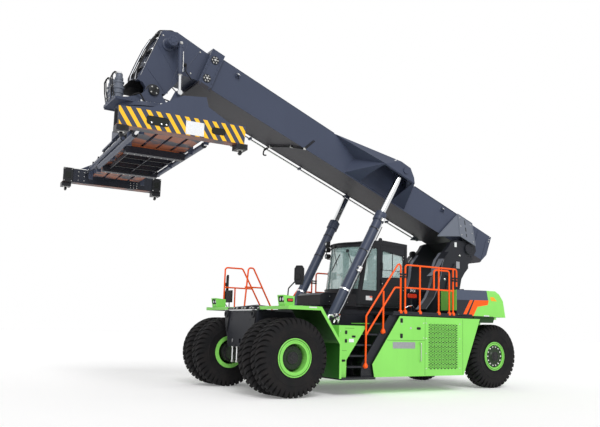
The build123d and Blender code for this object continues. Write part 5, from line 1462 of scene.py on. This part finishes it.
def tread_marks(x0, x1, y0, y1, z):
    """Lozenge bars in a checker, turned one way and the other."""
    marks = []
    for n, lean in enumerate((0.8, -0.8)):
        xs = np.arange(x0 + 0.06 + n * 0.06, x1, 0.12)
        ys = np.arange(y0 + 0.05 + n * 0.05, y1, 0.1)
        place = np.stack(np.meshgrid(xs, ys, [z], indexing="ij"), -1).reshape(-1, 3)
        mark = plate((0, 0, 0), (cos(lean), sin(lean), 0), (-sin(lean), cos(lean), 0),
                     [(-0.026, 0), (0, -0.007), (0.026, 0), (0, 0.007)], 0.003, 0.0012)
        marks.append(repeated(mark, place))
    return joined(*marks)


steps.add(tread_marks(-5.2, -2.7, 0.95, 1.9, 1.8395), charcoal)
steps.add(tread_marks(-4.6, -1.05, 0.66, 0.73, 1.8795), charcoal)
steps.add(tread_marks(-1.3, -1.02, -0.7, 0.7, 1.8795), charcoal, (1,))
steps.add(brick((-3.96, 1.95, 1.865), (2.56, 0.05, 0.01), 0.003), charcoal)
steps.done()

# %% Towers, rear hood and deck fittings
# The flange highlight is painted: a lighter grey copy of the frame paint on the tower flanges that face up
# and forward, and a thin light line along the flange's edge.
flange_highlight = painted("flange_highlight", srgb(116, 120, 130), 0.35, dust=0.0)
tower = Piece("tower_fittings", "chassis", "frame_paint", (1, -1))
tower.add(lathe((BOOM_PIVOT[0], 0.672, BOOM_PIVOT[1]), LEFT, [(0, 0.145), (0.012, 0.145), (0.018, 0.137),
                                                              (0.018, 0.03)], 40), charcoal)
tower.add(bolt_ring((BOOM_PIVOT[0], 0.688, BOOM_PIVOT[1]), LEFT, 0.112, 8, 0.014), charcoal)
FLANGE_LINE = [(-4.7, 2.01), (-4.85, 2.17), (-4.99, 2.33), (-5.09, 2.52), (-5.18, 2.74), (-5.24, 2.95),
               (-5.27, 3.2), (-5.34, 3.37), (-5.53, 3.59)]
WING_LINE = [(-4.886, 2.893), (-5.055, 3.02), (-5.212, 3.202), (-5.325, 3.388)]
for line, y, wide, lift, deep, look in ((FLANGE_LINE, 0.7375, 0.178, 0.002, 0.006, charcoal),
                                        (FLANGE_LINE, 0.4735, 0.098, -0.01, 0.022, flange_highlight),
                                        (WING_LINE, 0.7375, 0.178, 0.002, 0.006, flange_highlight)):
    for (x0, z0), (x1, z1) in zip(line, line[1:]):
        along = unit((x1 - x0, 0, z1 - z0))
        over = np.cross(along, LEFT)
        middle = np.array(((x0 + x1) / 2, y, (z0 + z1) / 2)) + over * np.sign(over[0]) * lift
        tower.add(brick(middle, (wide, np.hypot(x1 - x0, z1 - z0), deep), 0.001, LEFT, along), look)
tower.add(tube([(x, 0.827, z) for x, z in FLANGE_LINE[:-1]], 0.009), flange_highlight)
tower.add(side_plate((-5.96, 0.64, 3.836), 0.085, 0.13, 0.01, 0.008), white)
tower.add(side_plate((-6.051, 0.64, 3.276), 0.13, 0.19, 0.006, 0.004), silver)
tower.add(bolts([(-6.116, 0.64, 3.54), (-5.55, 0.64, 2.85)], LEFT, 0.03), zinc)
tower.add(hose([(-5.9, 0.66, 3.3), (-5.62, 0.66, 2.75), (-5.5, 0.66, 2.2), (-5.46, 0.66, 1.86)], 0.3, 0.016),
          rubber)
for x, z in ((-5.5, 2.1), (-5.572, 2.5), (-5.653, 2.95)):
    tower.add(brick((x, 0.655, z), (0.14, 0.03, 0.04), 0.004), black)
tower.add(brick((-4.24, 0.8, 2.42), (0.3, 0.02, 0.1), 0.004), black)
tower.add(tube([(-4.24, 0.78, 1.88), (-4.24, 0.78, 2.42)], 0.018, 10), black)
tower.add(side_plate((-4.24, 0.794, 2.335), 0.31, 0.11, 0.03, 0.035, 0.008), red)
for x, z in ((-4.2, 2.475), (-4.29, 2.46)):
    tower.add(brick((x, 0.815, z), (0.075, 0.085, 0.06), 0.01), alloy)
    lamp(tower, (x, 0.85, z), LEFT, 0.03, black)
tower.add(hose([(-4.02, 0.83, 2.03), (-4.1, 0.85, 2.07), (-4.22, 0.84, 2.09), (-4.32, 0.8, 2.04)], 0.05,
               0.014), alloy)
tower.add(brick((-4.14, 0.845, 2.07), (0.07, 0.03, 0.03), 0.005), orange)
for x in (-4.02, -4.32):
    tower.add(tube([(x, 0.82, 2.04), (x, 0.81, 1.96), (x, 0.72, 1.87)], 0.012), black)
roller = (-5.46, -0.585, 3.62)
tower.add(brick((-5.49, -0.585, 3.585), (0.03, 0.14, 0.14), 0.01, LEFT, (-0.6, 0, 0.8)), black, (1,))
tower.add(sleeve(roller, LEFT, 0.04, 0.035, 0.085, 28), black, (1,))
drop = rounded([(-5.5, -0.6, 3.69), (-5.6, -0.655, 3.7), (-5.67, -0.664, 3.62), (-5.62, -0.67, 3.5),
                (-5.5, -0.7, 3.36)], 0.08)
tower.add(tube(drop, 0.022), rubber, (1,)).add(tube(drop + (0.05, 0, -0.01), 0.016), alloy, (1,))
tower.done()

marker_amber = painted("marker_amber", srgb(252, 172, 36), 0.35, dust=0.0)
tail = Piece("tail_fittings", "chassis", "green_paint", (1, -1))
tail.add(plate((-6.012, HOOD_Y, 2.305), BACK, TOP, [(-0.08, -0.05), (0.13, -0.05), (0.01, 0.05),
                                                    (-0.125, 0.05)], 0.004, 0.001), marker_amber)
tail.add(side_plate((-5.758, 1.95, 1.866), 0.2, 0.032, 0.004, 0.004, 0.001), alloy)
tail.add(brick((-5.35, HOOD_Y, 1.848), (1.3, 0.014, 0.008), 0.002), black)
tail.add(bolts([(x, 1.952, 1.88) for x in (-4.76, -5.9, -6.35)], LEFT, 0.01), green)
for z, look in ((2.14, red), (2.04, amber), (1.96, clear)):
    tail.add(lathe((-6.43, 1.62, z), BACK, [(-0.06, 0.044), (0, 0.044), (0.006, 0.04)]), black)
    tail.add(lathe((-6.436, 1.62, z), BACK, [(0, 0.038), (0.012, 0.034), (0.018, 0.018)]), look)
for y in (0.95, 1.1, 1.25):
    tail.add(bolts([(-6.478, y, z) for z in (1.95, 2.25)], BACK, 0.012), zinc)
tail.add(plate((-6.848, 1.256, 2.12), unit((-0.85, -0.55, 0)), TOP, oblong(0.16, 0.4, 0.02), 0.01), black)
for z, look in ((2.25, red), (2.12, amber), (1.99, clear)):
    tail.add(lathe((-6.851, 1.261, z), (-0.55, 0.85, 0), [(0, 0.05), (0.012, 0.05), (0.026, 0.03)]), look)
tail.add(tube([(-7.2, 0, 0.94), (-7.2, 0, 1.46)], 0.028, 20), zinc, (1,))
tail.add(ring_bar((-7.2, 0, 1.485), FRONT, 0.035, 0.008, 24), zinc, (1,))
tail.add(bolts([(-7.25, y, z) for y in (0.2, 0.28) for z in (1.0, 1.2, 1.6)], BACK, 0.016), zinc)
tail.add(brick((-7.252, 0, 2.12), (0.006, 0.36, 1.3), 0.002), green, (1,))
for y in (-0.5, 0.5):
    tail.add(ring_bar((-7.0, y, 2.47), LEFT, 0.045, 0.014, 24), black, (1,))
tail.add(brick((-6.8, 0, 2.441), (0.5, 0.004, 1.2), 0.001), charcoal, (1,))
tail.done()

# %% [markdown]
# ## Seat and controls
# The seat is foam under stitched cloth. Each pad starts as a rounded form a little smaller than the pad,
# and a cloth run blows it up from inside until its skin is taut: it crowns in the middle and pulls in
# between its corners. Piping is laid round it afterwards, over the seam.

# %% Pads
def pad_form(centre, size, across, up, corner):
    """Closed cushion: rings of an oblong, shrunk towards both faces along a rounded edge."""
    across, up = unit(across), unit(up)
    deep = np.cross(across, up)
    t = np.linspace(-pi / 2, pi / 2, 9)
    shrink = 1 - 0.1225 * (1 - np.cos(t))
    outline = oblong(size[0], size[1], corner, 6)
    rings = [np.asarray(centre) + (outline[:, :1] * across + outline[:, 1:] * up) * s +
             deep * size[2] / 2 * np.sin(a) for s, a in zip(shrink, t)]
    return capped(np.stack(rings))


seat_cloth = Look("seat_cloth", Sheen_Weight=0.3, Roughness=0.85)
weave = seat_cloth.noise(420.0, 2.0, (1.0, 1.0, 3.0))
seat_cloth.feed(Base_Color=seat_cloth.mix(srgb(34, 36, 42), srgb(58, 61, 68), weave.step(0.4, 0.65)))
seat_cloth.bump(weave, 0.0012, 0.8)

VOXEL, PRESSURE, FRAMES, REACH = 0.009, 4.0, 20, 0.03


def inflate(pad):
    """Runs cloth with air pressed in and no weight, and keeps each point within REACH of where it began."""
    remesh = pad.modifiers.new("remesh", "REMESH")
    remesh.mode, remesh.voxel_size = "VOXEL", VOXEL
    bpy.context.view_layer.objects.active = pad
    bpy.ops.object.modifier_apply(modifier=remesh.name)
    before, after = (np.empty(len(pad.data.vertices) * 3, np.float32) for _ in range(2))
    pad.data.vertices.foreach_get("co", before)
    cloth = pad.modifiers.new("cloth", "CLOTH")
    cloth.settings.use_pressure, cloth.settings.uniform_pressure_force = True, PRESSURE
    cloth.settings.effector_weights.gravity = 0.0
    cloth.settings.quality = 6
    for frame_number in range(1, FRAMES + 1):
        bpy.context.scene.frame_set(frame_number)
    shaped = pad.evaluated_get(bpy.context.evaluated_depsgraph_get())
    shaped.data.vertices.foreach_get("co", after)
    pad.modifiers.remove(cloth)
    move = (after - before).reshape(-1, 3)
    size = np.linalg.norm(move, axis=1, keepdims=True)
    move *= np.minimum(1, REACH / np.maximum(size, 1e-6))
    pad.data.vertices.foreach_set("co", (before.reshape(-1, 3) + move).ravel())
    pad.data.shade_smooth()
    bpy.context.scene.frame_set(1)


BACK_UP = unit((-0.115, 0, 0.65))
pads = {
    "seat_cushion": pad_form((-3.345, 0, 2.49), (0.47, 0.46, 0.085), FRONT, LEFT, 0.06),
    "seat_back": pad_form((-3.645, 0, 2.845), (0.45, 0.6, 0.075), LEFT, BACK_UP, 0.07),
    "seat_headrest": pad_form((-3.705, 0, 3.235), (0.27, 0.13, 0.065), LEFT, BACK_UP, 0.04),
}
for name, surface in pads.items():
    pad = Piece(name, "cab", "seat_cloth").add(surface, seat_cloth).done(sharp=80)
    inflate(pad)

# %% Seat frame, piping, controls
seat = Piece("seat_frame", "cab", "black_plastic")
seat.add(brick((-3.35, 0, 2.432), (0.48, 0.03, 0.46), 0.01), nylon)
seat.add(plate((-3.695, 0, 2.845), LEFT, BACK_UP, oblong(0.4, 0.66, 0.06), 0.025, 0.008), nylon)
for k in range(5):
    seat.add(brick((-3.35, 0, 2.16 + 0.058 * k), (0.34 + 0.02 * (k % 2), 0.06, 0.32 + 0.02 * (k % 2)), 0.012),
             rubber)
seat.add(brick((-3.35, 0, 2.13), (0.42, 0.012, 0.38), 0.004), black)
for y in (0.09, -0.09):
    seat.add(tube([(-3.69, y, 3.1), (-3.705, y, 3.22)], 0.007), zinc)
for y in (0.3, -0.3):
    seat.add(hose([(-3.47, y * 0.86, 2.5), (-3.47, y, 2.58), (-3.46, y, 2.62)], 0.03, 0.018, 10), nylon)
    seat.add(plate((-3.34, y, 2.615), FRONT, LEFT, oblong(0.4, 0.075, 0.035), 0.055, 0.012), nylon)
    seat.add(lathe((-3.17, y, 2.665), TOP, [(0, 0.03), (0.012, 0.026), (0.03, 0.012), (0.09, 0.012),
                                            (0.1, 0.022), (0.16, 0.025), (0.175, 0.014)], 20), nylon)


def piping(centre, size, across, up, corner):
    """Cord along the seam round a pad's middle."""
    outline = oblong(*size, corner, 6)
    path = np.asarray(centre) + outline[:, :1] * unit(across) + outline[:, 1:] * unit(up)
    return tube(np.concatenate([path, path[:1]]), 0.006)


seat.add(piping((-3.345, 0, 2.492), (0.468, 0.458), FRONT, LEFT, 0.06), rubber)
seat.add(piping((-3.645, 0, 2.845), (0.448, 0.598), LEFT, BACK_UP, 0.07), rubber)
seat.add(brick((-3.56, 0.27, 2.47), (0.05, 0.1, 0.03), 0.01), red)
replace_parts(seat.done(), "seat")

desk = Piece("cab_controls", "cab", "black_plastic")
wheel_at, tilt = np.array((-2.76, 0, 2.77)), unit((-sin(radians(25)), 0, cos(radians(25))))
desk.add(lathe(wheel_at + tilt * 0.005, tilt, [(0, 0.055), (0.02, 0.05), (0.028, 0.03)]), nylon)
desk.add(lathe(wheel_at + tilt * 0.01 + (0, 0.16, 0), tilt, [(0, 0.014), (0.03, 0.012), (0.034, 0.02),
                                                             (0.06, 0.018)], 12), nylon)
screen = np.array((-2.52, -0.36, 2.8))
desk.add(brick(screen, (0.26, 0.19, 0.03), 0.008, unit((0.4, -0.9, 0)), TOP), nylon)
desk.add(tube([(-2.52, -0.36, 2.72), (-2.56, -0.4, 2.2)], 0.018), nylon)
desk.add(brick((-3.3, 0, 2.126), (1.3, 0.01, 1.26), 0.003), rubber)
for y in (-0.1, 0.1):
    desk.add(brick((-2.62, y * 1.6, 2.185), (0.03, 0.12, 0.09), 0.006, (0.5, 0, -0.866), (0.866, 0, 0.5)),
             black)
desk.add(brick((-3.3, -0.5, 2.37), (0.5, 0.5, 0.18), 0.02), nylon)
for k in range(4):
    desk.add(lathe((-3.12 - 0.07 * k, -0.48, 2.62), TOP, [(0, 0.014), (0.008, 0.014), (0.012, 0.01)], 12),
             silver)
desk.done()
